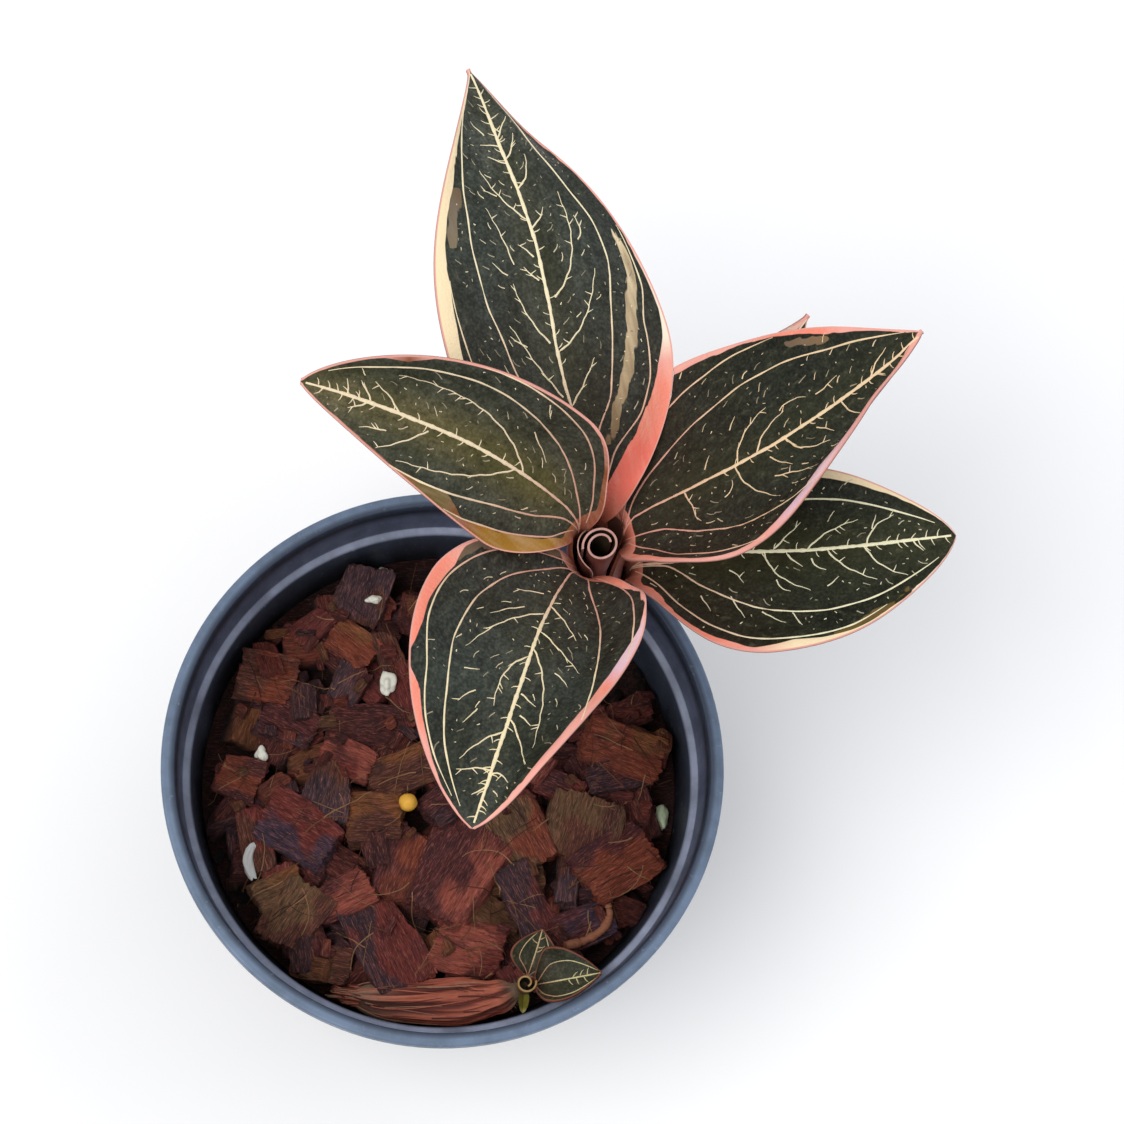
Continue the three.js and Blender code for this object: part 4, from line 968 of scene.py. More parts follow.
class Veins:
    """The raised veins of one leaf, laid on its upper face."""

    def __init__(self, leaf):
        self.leaf, self.batch = leaf, Batch()
        self.random = np.random.default_rng(leaf.spec["seed"])
        self.drawn = []

    def surface(self, s, v, height=0.0):
        """Points on the fine mesh's upper face, or above it."""
        leaf = self.leaf
        half = BLADE_THICKNESS / 2 * thinning(leaf, s, v)
        return leaf.at(s, v, half + leaf.relief(s, v) + height)

    def lay(self, s, v, widths, height, section=FINE_RIDGE, pale=0.0, dull=0.0):
        """A ridge of half widths in mm along the path of places (s, v) on the blade."""
        s, v = np.asarray(s, dtype=float), np.asarray(v, dtype=float)
        points = self.surface(s, v)
        normals = self.surface(s, v, 0.5) - points
        normals /= np.linalg.norm(normals, axis=1)[:, None]
        sideways = np.cross(np.gradient(points, axis=0), normals)
        sideways /= np.linalg.norm(sideways, axis=1)[:, None] + 1e-9
        base, far = self.leaf.spec["vein"]
        tints = lerp(base, far, smooth(self.leaf.share(s) * 2.2 + pale)[:, None])
        tints = lerp(tints, DULL_FLECK, dull)
        widths = np.broadcast_to(np.asarray(widths, dtype=float), s.shape)
        heights = height * np.clip(widths / (widths.max() + 1e-9), 0.4, 1)
        self.batch.tube(points, sideways, normals, widths, heights, section, tints)

    def along(self, t):
        """How far along the leaf a share of the blade lies."""
        return self.leaf.blade_from + self.leaf.spec["length"] * t

    def long_vein(self, side, order, width, count):
        """A lengthwise vein, its course smoothed and its width a little knotty."""
        leaf = self.leaf
        points = leaf.spec.get("veins", {}).get((side, order))
        last = points[-1][0] if points else 0.93
        t = np.linspace(0.0 if order == 0 else 0.02, last, count)
        place = leaf.vein_place(t, side, order)
        kernel = np.hanning(9) / np.hanning(9).sum()
        place = np.convolve(np.pad(place, 4, mode="edge"), kernel, mode="valid")
        fade = (0.5 + 0.5 * smooth(t * 12)) * (0.4 + 0.6 * smooth((last - t) * 9))
        knots = 1 + 0.1 * np.sin(71 * t + 5 * order) + 0.08 * np.sin(147 * t + side)
        v = side * np.clip(place, 0.02, 0.985)
        self.lay(self.along(t), v, width * fade * knots, 0.1, RIDGE, pale=-0.25)

    def midrib(self, width, count):
        """The middle vein, from the petiole's end nearly to the tip."""
        leaf = self.leaf
        t = np.linspace(-0.03, 0.985, count)
        s = self.along(t)
        v = leaf.middle(t) / leaf.side(s, np.sign(leaf.middle(t)))
        knots = 1 + 0.12 * np.sin(97 * t) + 0.1 * np.sin(203 * t) + 0.08 * np.sin(331 * t)
        profile = lerp(0.5, 1.0, smooth(t * 2.6)) * lerp(1.0, 0.5, smooth((t - 0.8) * 5))
        self.lay(s, v, width * profile * knots, 0.24 * leaf.scale, RIDGE)

    def path(self, s, across, side, length, first, last, wiggle, bound=0.97):
        """A vein grown forward from a place in mm, turning from one angle to another."""
        leaf = self.leaf
        count = max(3, int(length / VEIN_STEP))
        phase = self.random.uniform(0, 2 * math.pi)
        points = [(s, across)]
        for k in range(count):
            angle = math.radians(lerp(first, last, smooth((k / count) ** 0.7)))
            angle += wiggle * math.sin(phase + 0.77 * k) + 0.6 * wiggle * math.sin(1.8 * k)
            s += math.cos(angle) * VEIN_STEP
            across += side * math.sin(angle) * VEIN_STEP
            reach = bound * float(leaf.side(s, across)) - EDGE_CLEARANCE
            if float(leaf.share(s)) > 0.985 or abs(across) > reach:
                break
            points.append((s, across))
        return np.array(points)

    def draw(self, path, width, height, tip=0.35, pale=0.25, dull=0.0):
        """A vein along a path of places in mm, its end thinned to a share of its width."""
        if len(path) < LEAST_POINTS:
            return
        s, across = path[:, 0], path[:, 1]
        v = across / self.leaf.side(s, across)
        taper = lerp(1, tip, np.linspace(0, 1, len(path)) ** 1.5)
        self.lay(s, v, width * taper, height, FINE_RIDGE, pale, dull)
        self.drawn.append(path)

    def branch(self, side, start, off, length, first, last):
        """A side vein with a few barbs; one that starts off the midrib is thinner."""
        random, width = self.random, BRANCH_HALF_WIDTH
        s = self.along(start)
        across = float(self.leaf.middle(start)) + side * max(off, 0.15)
        path = self.path(s, across, side, length, first, last, 0.13)
        self.draw(path, width if off < 2 else width * 0.85, 0.09, pale=0.1)
        for s, across in path[3:-1]:
            if random.uniform() < 0.12:
                way = side * random.choice((-1, 1))
                turn = random.uniform(25, 70)
                barb = self.path(s, across, way, random.uniform(0.9, 1.6), turn, turn, 0.1)
                self.draw(barb, width * 0.7, 0.07)

    def barbs(self, first, last, gap, size):
        """Short hairs of vein along the midrib."""
        random, t, side = self.random, first, 1
        while t < last:
            t += random.uniform(*gap) / self.leaf.spec["length"]
            side = -side if random.uniform() < 0.8 else side
            turn = random.uniform(50, 85)
            across = float(self.leaf.middle(t)) + side * 0.2
            length = random.uniform(*size)
            path = self.path(self.along(t), across, side, length, turn, turn - 25, 0.15)
            self.draw(path, 0.14, 0.08)

    def flecks(self, count):
        """Dots and dashes between the veins, some of them faint."""
        leaf, random = self.leaf, self.random
        made, drawn = 0, np.vstack(self.drawn)
        vein_clearance, fleck_clearance, margin_clearance = 0.9, 1.0, 0.6
        for _ in range(count * 5):
            if made >= count:
                break
            t, v = random.uniform(0.05, 0.94), random.uniform(-0.92, 0.92)
            side, s = (1 if v > 0 else -1), self.along(t)
            half = float(leaf.side(s, v))
            inner = float(leaf.vein_place(t, side, 0))
            outer = float(leaf.vein_place(t, side, 1))
            gaps = [abs(v * half - float(leaf.middle(t)))]
            gaps += [abs(abs(v) - place) * half for place in (inner, outer)]
            here = np.array((s, v * half))
            if zone_fields(leaf, np.array([s]), np.array([v]))[0][0] > -margin_clearance:
                continue
            if min(gaps) < vein_clearance:
                continue
            if np.linalg.norm(drawn - here, axis=1).min() < fleck_clearance:
                continue
            dash = random.uniform() < (0.4 if abs(v) < inner else 0.2)
            turn = random.uniform(20, 60) if dash else random.uniform(-80, 80)
            length = random.uniform(0.9, 2.2) if dash else random.uniform(0.25, 0.6)
            if dash:
                path = self.path(s, v * half, side, max(length, 1.35), turn, turn - 15, 0.2)
            else:
                way = np.array((math.cos(turn), math.sin(turn))) * length / 2
                path = here + np.array((0, 1, 2))[:, None] * way
            dull = random.choice((0.0, 0.35, 0.7, 0.85))
            self.draw(path, random.uniform(0.09, 0.15), 0.07, tip=0.6, pale=0.3, dull=dull)
            drawn = np.vstack([drawn, path[:1]])
            made += 1

    def piece(self, material):
        self.batch.piece(self.leaf.spec["name"] + "_veins", material, "leaf")


def leaf_veins(leaf, material):
    """All veins of a large leaf: midrib, two long ones a side, branches, barbs and flecks."""
    veins, spec = Veins(leaf), leaf.spec
    veins.midrib(0.4, 170)
    for side in (-1, 1):
        veins.long_vein(side, 0, 0.2, 110)
        veins.long_vein(side, 1, 0.18, 100)
    for branch in spec["branches"]:
        veins.branch(*branch)
    veins.barbs(0.8, 0.965, (0.8, 1.6), (0.9, 2.3))
    veins.barbs(0.3, 0.8, (1.6, 3.6), (0.7, 1.4))
    blade_area_a_fleck = 9.5  # mm2, of the blade's length by half its width
    veins.flecks(int(spec["length"] * spec["half"] / blade_area_a_fleck))
    veins.piece(material)


def small_leaf_veins(leaf, material):
    """The few veins of an offshoot's leaf."""
    veins = Veins(leaf)
    veins.midrib(0.17, 50)
    for side in (-1, 1):
        veins.long_vein(side, 0, 0.11, 50)
    veins.barbs(0.45, 0.9, (0.5, 0.9), (1.0, 1.7))
    veins.piece(material)


def build_leaves(leaves, mesh_size, draw_veins, blade, vein):
    """Leaves from the innermost out, each cut clear of a thickened copy of those inside it."""
    cutters = []
    for leaf in leaves:
        build_leaf(leaf, blade, cutters, *mesh_size)
        draw_veins(leaf, vein)
        s, v = leaf_grid(leaf, *CUTTER_MESH)
        upper, lower = leaf_sheet(leaf, s, v, extra=CUTTER_EXTRA, fine=False)[:2]
        cutters.append(sheet_mesh(upper, lower))


def stem_leaves():
    """The leaves, each clasping the stem at its node."""
    for spec in LEAVES:
        clasp = stem_radius(spec["node"]) + GAP + BLADE_THICKNESS / 2 + MIDRIB_KEEL / 2
        yield Leaf(spec, stem_centre(spec["node"]), clasp, SHEATH_LENGTH, 1.0)


def offshoot_leaves():
    """The small leaves, which spring from the offshoot's end without a sheath."""
    clasp = OFFSHOOT_RADII[-1] + GAP + BLADE_THICKNESS / 2
    for spec in OFFSHOOT_LEAVES:
        axis = OFFSHOOT_PATH[-1] - np.array((0, 0, spec["drop"]))
        yield Leaf(spec, axis, clasp, 0.0, OFFSHOOT_LEAF_SCALE)


# ---- stem, rolled leaves and offshoot --------------------------------------------------------
def loft_mesh(rings):
    """A closed body of rings of points (rows, around, 3)."""
    rows, around = rings.shape[:2]
    faces = [tuple(reversed(face)) for face in grid_faces(rows, around, wrap=True)]
    faces.append(tuple(range(around)[::-1]))
    faces.append(tuple((rows - 1) * around + j for j in range(around)))
    return rings.reshape(-1, 3), faces


STEM_SKIN, STEM_YOUNG, STEM_SCAR = rgb(112, 108, 90), rgb(158, 96, 84), rgb(120, 84, 62)


def build_stem(material):
    """The stem, olive below and pink above, with a swelling and a scar at each old node."""
    rings, tints = [], []
    turns = circle(40)
    for z in [*np.arange(STEM_FOOT[2], CROWN[2], 0.5), CROWN[2]]:
        along = stem_centre(z + 0.5) - stem_centre(z - 0.5)
        turn = UP.rotation_difference(Vector(along)).to_matrix()
        near = min(abs(z - node) for node in STEM_OLD_NODES)
        swell = STEM_NODE_SWELL * max(0, 1 - near / 1.6)
        groove = 0.12 * math.exp(-((near - 0.5) / 0.3) ** 2)
        ribs = 1 + 0.012 * np.sin(5 * turns + z / 9)
        radius = (stem_radius(z) + swell - groove) * ribs
        rings.append((ring(1.0, turns, 0.0) * radius[:, None]) @ np.array(turn).T + stem_centre(z))
        tint = lerp(STEM_SKIN, STEM_YOUNG, smooth((z - 66) / 26))
        tint = lerp(tint, STEM_SCAR, 0.75 * math.exp(-((near - 0.3) / 0.55) ** 2))
        tints.append(np.tile(tint, (len(turns), 1)))
    verts, faces = loft_mesh(np.array(rings))
    layer = tint_layer(np.concatenate(tints))
    piece = add_piece("stem_skin", verts, faces, material, layer)
    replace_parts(piece, "stem")


# Colours of the rolled leaves: outside, inside and rim, and the share of the height the rim is from.
NEW_LEAF_SKIN = rgb(122, 70, 62), rgb(56, 46, 32), rgb(196, 148, 136), 0.98
OFFSHOOT_SKIN = rgb(104, 84, 52), rgb(40, 32, 22), rgb(150, 120, 70), 0.93


def build_roll(name, node, shape, skin, foot, material):
    """A leaf still rolled up, its upper and free edges thin and pale."""
    rows, levels = 130, 30
    facing, turned_in_all = math.radians(shape["facing"]), shape["turns"] * 2 * np.pi
    share = np.linspace(0, 1, rows)[:, None]
    climb = (np.linspace(0, 1, levels) ** 0.6)[None, :]
    angle = facing + share * turned_in_all
    opening = lerp(shape["foot"], 1, smooth(climb))
    radius = (shape["core"] + shape["pitch"] * share * shape["turns"]) * opening
    top = shape["height"] - shape["slant"] * (1 - np.cos(angle - facing)) / 2
    z = foot[2] + climb * top
    half = shape["wall"] / 2 * (1 - 0.35 * smooth((climb - 0.7) / 0.3))
    sides = [ring(radius + way * half, angle, z) + (foot[0], foot[1], 0) for way in (1, -1)]
    verts, faces = sheet_mesh(*sides)

    outside, inside, rim, rim_from = skin
    top_edge = np.broadcast_to(smooth((climb - rim_from) / 0.01), (rows, levels))
    free_edge = np.broadcast_to(smooth((share - 0.985) / 0.01), (rows, levels))
    pale = np.maximum(top_edge, free_edge)[..., None]
    outside = lerp(MAROON, outside, smooth(climb * 1.4)[..., None])
    tints = [
        lerp(np.broadcast_to(color, (rows, levels, 4)), rim, pale).reshape(-1, 4)
        for color in (outside, inside)
    ]
    layer = tint_layer(np.concatenate(tints))
    piece = add_piece(name, verts, faces, material, layer, 50)
    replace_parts(piece, node)


# The scales round the rolled leaf: one in the gap between two petioles, one hugging its side. A
# scale stands `height` mm tall from the height `foot`, leans out by `reach` mm at its tip, narrows
# there by `taper`, and its rim is pale from the share `rim_from` of its height up.
CROWN_SCALES = [
    dict(name="crown_bract", heading=62, spread=34, foot=101, height=18.6, reach=3.9, taper=1,
         rim_from=0.94, rim=rgb(168, 104, 86)),
    dict(name="crown_sheath", heading=178, spread=82, foot=104, height=15.2, reach=1.25, taper=0.35,
         rim_from=0.965, rim=rgb(200, 152, 140)),
]
SCALE_WALL, SCALE_GAP = 0.35, 0.15
SCALE_INSIDE, SCALE_OUTSIDE = rgb(70, 42, 34), rgb(104, 58, 48)


def build_crown_scale(scale, material):
    """A thin scale that stands round the rolled leaf, tapering to its tip."""
    t, v = np.meshgrid(np.linspace(0, 1, 32), np.linspace(-1, 1, 25), indexing="ij")
    heading, spread = math.radians(scale["heading"]), math.radians(scale["spread"])
    turn = heading + v * spread * np.sqrt(1.02 - scale["taper"] * t ** 3)
    radius = STEM_RADIUS_TOP + SCALE_GAP + scale["reach"] * t ** 1.2
    height = scale["foot"] + scale["height"] * t * (1 - 0.12 * v ** 2)
    walls = (0.0, SCALE_WALL * (1 - 0.4 * t))
    verts, faces = sheet_mesh(*[
        ring(radius + wall, turn, height) + (CROWN[0], CROWN[1], 0) for wall in walls
    ])
    pale = np.maximum(smooth((t - scale["rim_from"]) / 0.02), smooth((np.abs(v) - 0.9) / 0.1))
    tints = np.concatenate([
        lerp(color, scale["rim"], pale[..., None]).reshape(-1, 4)
        for color in (SCALE_INSIDE, SCALE_OUTSIDE)
    ])
    add_piece(scale["name"], verts, faces, material, tint_layer(tints), 50)


def catmull(points, share):
    """A smooth curve through points, at shares from 0 to 1 of it."""
    points = np.asarray(points, dtype=float)
    last = len(points) - 1
    place = np.clip(np.asarray(share) * last, 0, last - 1e-6)
    low = place.astype(int)
    u = (place - low)[:, None]
    padded = np.vstack([2 * points[0] - points[1], points, 2 * points[-1] - points[-2]])
    p0, p1, p2, p3 = (padded[low + k] for k in range(4))
    return 0.5 * (
        2 * p1 + (p2 - p0) * u + (2 * p0 - 5 * p1 + 4 * p2 - p3) * u ** 2
        + (3 * p1 - p0 - 3 * p2 + p3) * u ** 3
    )


# Colours of the husk at its foot, along it, in painted light on its upper ridges, in painted shade in
# its furrows and underneath, and on its neck.
HUSK_PALE, HUSK_RED, HUSK_PAINTED_LIGHT = rgb(146, 122, 100), rgb(150, 72, 54), rgb(196, 116, 90)
HUSK_PAINTED_SHADE, HUSK_NECK = rgb(70, 28, 26), rgb(104, 84, 66)
HUSK_FIBRES = (rgb(150, 112, 88), rgb(110, 52, 40), rgb(172, 96, 76), rgb(70, 34, 28))
NECK_FUZZ = rgb(126, 104, 82)
HUSK_SEED = 5


def build_husk(material, fibre_material):
    """The offshoot in its dry husk, ridged lengthwise, with painted light on its upper ridges and
    painted shade in its furrows and underneath.
    """
    rows = 100
    share = np.linspace(0, 1, rows)
    centre = catmull(OFFSHOOT_PATH, share)
    last = len(OFFSHOOT_RADII) - 1
    low = np.minimum((share * last).astype(int), last - 1)
    radii = np.array(OFFSHOOT_RADII)
    radius = lerp(radii[low], radii[low + 1], smooth(share * last - low))
    radius = radius * lerp(0.45, 1, smooth(share / 0.12))
    turns = circle(72)
    along = np.gradient(centre, axis=0)
    rings, tints = [], []
    for i in range(rows):
        turn = np.array(UP.rotation_difference(Vector(along[i])).to_matrix())
        ridge = np.array([
            noise.noise(Vector((2.6 * math.cos(a), 2.6 * math.sin(a), 2.2 * share[i])))
            + 0.7 * noise.noise(Vector((8 * math.cos(a), 8 * math.sin(a), 3 * share[i] + 9)))
            for a in turns
        ])
        body = smooth((0.8 - share[i]) * 8)  # 1 on the husk, 0 on its neck
        reach = radius[i] * (1 + 0.2 * ridge * body) - 0.15
        spokes = ring(1.0, turns, 0.0) * reach[:, None] @ turn.T
        rings.append(spokes + centre[i])
        base = lerp(HUSK_PALE, HUSK_RED, smooth((share[i] - 0.05) * 4))
        base = lerp(base, HUSK_NECK, smooth((share[i] - 0.6) * 8))[None, :]
        # painted light on the upward-facing ridges
        top = smooth(spokes[:, 2] / radius[i])[:, None]
        base = lerp(base, HUSK_PAINTED_LIGHT, 0.5 * top * body * smooth(0.3 + 2 * ridge)[:, None])
        # painted shade in the furrows and on the underside
        shade = np.maximum(smooth(0.35 - 2 * ridge), 1 - smooth(0.9 + spokes[:, 2] / 3))
        tints.append(lerp(base, HUSK_PAINTED_SHADE, 0.8 * shade[:, None] * body))
    verts, faces = loft_mesh(np.array(rings))
    layer = tint_layer(np.concatenate(tints))
    piece = add_piece("husk_skin", verts, faces, material, layer)
    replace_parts(piece, "offshoot_stem")
    build_husk_fibres(share, radius, fibre_material)


def build_husk_fibres(share, radius, material):
    """Fibres along the husk, its frayed foot and its fuzzy neck."""
    random = np.random.default_rng(HUSK_SEED)
    fibres = Batch()

    def on_husk(part, spoke, depth):
        """A point near the husk's skin, at a share of its radius."""
        return catmull(OFFSHOOT_PATH, [part])[0] + spoke * np.interp(part, share, radius) * depth

    for _ in range(34):
        start, length = random.uniform(-0.03, 0.45), random.uniform(0.12, 0.35)
        part = np.linspace(start, min(start + length, 0.72), 14)
        angle = random.uniform(0.1, np.pi - 0.1) + 0.25 * np.sin(part * 9 + random.uniform(0, 6))
        reach = np.interp(part, share, radius) * random.uniform(0.96, 1.1) + 0.05
        offset = np.stack([0 * part, -np.cos(angle) * reach, np.sin(angle) * reach], axis=1)
        points = catmull(OFFSHOOT_PATH, part) + offset
        fibres.strand(points, np.linspace(0.13, 0.06, 14), HUSK_FIBRES[random.integers(4)])
    back = OFFSHOOT_PATH[0] - catmull(OFFSHOOT_PATH, [0.06])[0]
    back = back / np.linalg.norm(back)
    for _ in range(40):
        part, angle = random.uniform(0.02, 0.1), random.uniform(0.1, np.pi - 0.1)
        foot = on_husk(part, np.array((0, -math.cos(angle), math.sin(angle))), 0.95)
        tip = foot + back * random.uniform(1.4, 3.2) + random.uniform(-0.5, 0.5, 3)
        tip[2] = min(tip[2], foot[2])
        color = HUSK_FIBRES[random.integers(3)]
        fibres.strand([foot, (foot + tip) / 2, tip], [0.16, 0.12, 0.05], color, 4)
    for _ in range(90):
        part, angle = random.uniform(0.62, 0.9), random.uniform(0, 2 * np.pi)
        spoke = np.array((math.cos(angle), math.sin(angle), random.uniform(-0.4, 0.4)))
        foot = on_husk(part, spoke, 0.9)
        tip = foot + spoke * random.uniform(0.4, 0.9) + random.uniform(-0.3, 0.3, 3)
        fibres.strand([foot, (foot + tip) / 2, tip], [0.06, 0.05, 0.03], NECK_FUZZ, 4)
    fibres.piece("husk_fibres", material, "husk")


# The leaf scale at the foot of the offshoot's roll: lengths in mm, its fold and fall in degrees.
BRACT = dict(heading=268, length=3.8, half=1.5, foot=1.0, drop=0.8, fold=52, fall=18, wall=0.3)
BRACT_OLIVE, BRACT_TIP = rgb(112, 104, 40), rgb(176, 164, 100)


def build_bract(material):
    """The small folded leaf scale at the foot of the offshoot's rolled leaf."""
    t, v = np.meshgrid(np.linspace(0, 1, 16), np.linspace(-1, 1, 11), indexing="ij")
    heading, fall, fold = (math.radians(BRACT[key]) for key in ("heading", "fall", "fold"))
    out = BRACT["foot"] + t * BRACT["length"]
    half = BRACT["half"] * np.sin(np.pi * (0.18 + 0.82 * t)) ** 0.6 + 0.08
    aside = v * half * math.cos(fold)
    up = np.abs(v) * half * math.sin(fold) - out * math.tan(fall) * t
    point = OFFSHOOT_PATH[-1] - np.array((0, 0, BRACT["drop"]))
    upper = np.stack([
        point[0] + out * math.cos(heading) - aside * math.sin(heading),
        point[1] + out * math.sin(heading) + aside * math.cos(heading), point[2] + up,
    ], axis=-1)
    verts, faces = sheet_mesh(upper, upper - np.array((0, 0, BRACT["wall"])))
    tints = lerp(BRACT_OLIVE, BRACT_TIP, smooth((t - 0.72) / 0.2)[..., None]).reshape(-1, 4)
    layer = tint_layer(np.tile(tints, (2, 1)))
    add_piece("offshoot_bract", verts, faces, material, layer)


# ---- pot -------------------------------------------------------------------------------------
WALL_TOP = POT_HEIGHT - LIP_HEIGHT  # where the lip begins
POT_OUTSIDE, POT_SMEAR = rgb(36, 40, 50), rgb(70, 76, 92)
LIP_INSIDE, LIP_OUTER_PALE = rgb(58, 70, 88), rgb(100, 118, 142)
# Tints down the pot's inside: (height, colour), from the lip's top to the mix. They paint light and
# shade: a dark band of painted shade under the lip, a paler collar, a painted highlight on the ledge's
# bead, and painted shade deepening to near black towards the mix.
INNER_LIGHT_AND_SHADE = [
    (POT_HEIGHT - 0.55, rgb(76, 92, 116)), (POT_HEIGHT - 0.8, rgb(26, 29, 38)),
    (POT_HEIGHT - 4.4, rgb(34, 38, 50)), (POT_HEIGHT - 5.2, rgb(92, 100, 122)),
    (POT_HEIGHT - 11.5, rgb(84, 92, 114)), (POT_HEIGHT - 11.8, rgb(150, 158, 180)),
    (POT_HEIGHT - 12.35, rgb(146, 154, 176)), (POT_HEIGHT - 12.6, rgb(60, 66, 80)),
    (POT_HEIGHT - 17, rgb(48, 52, 64)), (POT_HEIGHT - 21, rgb(16, 16, 20)),
]


def outer_radius(z):
    """The wall's outer radius at a height below the lip."""
    return lerp(BASE_RADIUS, RIM_RADIUS - LIP_OVERHANG, z / WALL_TOP)


def inner_radius(z):
    """The wall's inner radius at a height below the ledge."""
    return outer_radius(z) - WALL


def rounded(corner, start, end, steps=4):
    """Points of a small round between two directions at a corner (radius, height)."""
    corner, start, end = (np.array(p, dtype=float) for p in (corner, start, end))
    share = np.linspace(0, 1, steps + 1)[:, None]
    return ((1 - share) ** 2 * start + 2 * share * (1 - share) * corner + share ** 2 * end).tolist()


def pot_profile():
    """The wall's outline (radius, height), up the outside, over the lip and down the inside."""
    rim, top, lip = RIM_RADIUS, POT_HEIGHT, LIP_ROUNDING
    ledge, collar = top - COLLAR_DEPTH, rim - LIP_WIDTH
    foot, neck = outer_radius(0), outer_radius(WALL_TOP)
    profile = [(8, 0), (20, 0), (30, 0)]
    profile += rounded((foot, 0), (foot - BASE_CHAMFER, 0), (outer_radius(BASE_CHAMFER), BASE_CHAMFER))
    profile += [(outer_radius(z), z) for z in np.linspace(8, WALL_TOP - 0.6, 12)]
    profile += rounded((neck, WALL_TOP), (neck, WALL_TOP - 0.3), (neck + 0.3, WALL_TOP), 3)
    profile += rounded((rim, WALL_TOP), (rim - 0.4, WALL_TOP), (rim, WALL_TOP + 0.5))
    profile += rounded((rim, top), (rim, top - lip), (rim - lip, top))
    profile += [(rim - 1.3, top - 0.05)]
    profile += rounded((collar, top), (collar + lip, top), (collar, top - lip))
    for share in (0.03, 0.2, 0.4, 0.52, 0.58, 0.62, 0.8, 0.9, 0.97):
        profile.append((collar - COLLAR_TAPER * share, lerp(top - lip, ledge + 0.5, share)))
    inside = collar - COLLAR_TAPER
    profile += rounded((inside, ledge), (inside, ledge + 0.45), (inside - 0.5, ledge - 0.1), 3)
    step, below = inside - LEDGE_WIDTH, ledge - LEDGE_SLOPE
    on_ledge = (step + 0.5, ledge - LEDGE_SLOPE * 0.8)
    profile += rounded((step, below), on_ledge, (step - 0.1, ledge - 1.2), 3)
    profile += [(inner_radius(z), z) for z in np.linspace(ledge - LEDGE_FAIRING, FLOOR + 0.6, 12)]
    return profile + [(inner_radius(FLOOR) - 0.6, FLOOR), (20, FLOOR), (8, FLOOR)]


def pot_tints(verts):
    """The plastic's colour: paler towards the lip's outer edge, banded down the inside with painted
    light and shade, dark outside.
    """
    radius, height = np.hypot(verts[:, 0], verts[:, 1]), verts[:, 2]
    outside = radius > outer_radius(np.minimum(height, WALL_TOP)) - 0.4
    on_top = height > POT_HEIGHT - LIP_ROUNDING - 0.5
    levels, colors = zip(*INNER_LIGHT_AND_SHADE[::-1])
    # painted light and shade in bands down the inside
    inner = np.stack([np.interp(height, levels, [c[k] for c in colors]) for k in range(4)], axis=1)
    turn = np.arctan2(verts[:, 1], verts[:, 0])
    places = [Vector((6 * math.cos(a), 6 * math.sin(a), 0.05 * z)) for a, z in zip(turn, height)]
    smear = np.array([noise.noise(place) for place in places])
    inner = lerp(inner, POT_SMEAR, 0.5 * smooth(2.5 * smear - 0.3)[:, None])
    # the lip's top is paler towards its outer edge
    lip = lerp(LIP_INSIDE, LIP_OUTER_PALE, smooth((radius - RIM_RADIUS + 2.1) / 0.8)[:, None])
    tints = np.where(outside[:, None], POT_OUTSIDE, inner)
    return np.where(on_top[:, None], lip, tints)


def drill(place, radius, length, sides):
    """A cylinder about its local Z, as points and faces."""
    rings = np.stack([ring(radius, circle(sides), z) for z in (-length / 2, length / 2)])
    verts, faces = loft_mesh(rings)
    return np.array([tuple(place @ Vector(p)) for p in verts]), faces


def build_pot(material):
    """The pot turned from its profile, with its drainage holes and its hanger hole."""
    profile = np.array(pot_profile())
    verts, faces = loft_mesh(ring(profile[:, :1], circle(160), profile[:, 1:]))
    drills = []
    for turn in circle(DRAIN_HOLES):
        centre = Matrix.Translation(ring(DRAIN_CIRCLE, turn, FLOOR / 2))
        drills.append(drill(centre, DRAIN_DIAMETER / 2, 10, 32))
    turn = Matrix.Rotation(math.radians(HANGER_AZIMUTH - 90), 4, "Z")
    place = Matrix.Translation((0, RIM_RADIUS, POT_HEIGHT - HANGER_DROP))
    across = Matrix.Rotation(math.pi / 2, 4, "X")
    drills.append(drill(turn @ place @ across, HANGER_DIAMETER / 2, 12, 24))
    verts, faces = cut(verts, faces, drills)
    layer = tint_layer(pot_tints(verts))
    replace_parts(add_piece("pot_shell", verts, faces, material, layer, 40), "pot")


# ---- bark mix --------------------------------------------------------------------------------
# A chip's corners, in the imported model's order.
CORNERS = [
    (1, 1, 1), (1, 1, -1), (1, -1, 1), (1, -1, -1),
    (-1, 1, -1), (-1, 1, 1), (-1, -1, -1), (-1, -1, 1),
]
# Colours of the small pieces, each with how often it is drawn.
BARK_TINTS = [
    (rgb(112, 52, 42), 5), (rgb(88, 42, 36), 5), (rgb(128, 64, 46), 3), (rgb(72, 38, 38), 4),
    (rgb(58, 44, 52), 4), (rgb(126, 80, 48), 2), (rgb(104, 76, 48), 2), (rgb(122, 58, 54), 3),
]
# Colours of the large chips, then of the bed and of loose fibres.
INKY, BLUE_BLACK, SLATE = rgb(48, 42, 52), rgb(60, 56, 74), rgb(70, 60, 68)
MAHOGANY, WINE, RUSTY = rgb(116, 48, 42), rgb(82, 40, 42), rgb(136, 66, 42)
ROSE, OCHRE = rgb(164, 84, 68), rgb(140, 88, 48)
KHAKI, UMBER = rgb(112, 88, 58), rgb(90, 56, 42)
BED_TINT = rgb(48, 26, 22)
FIBRE_TINTS = (rgb(112, 74, 50), rgb(86, 48, 36), rgb(150, 112, 80), rgb(62, 34, 30))
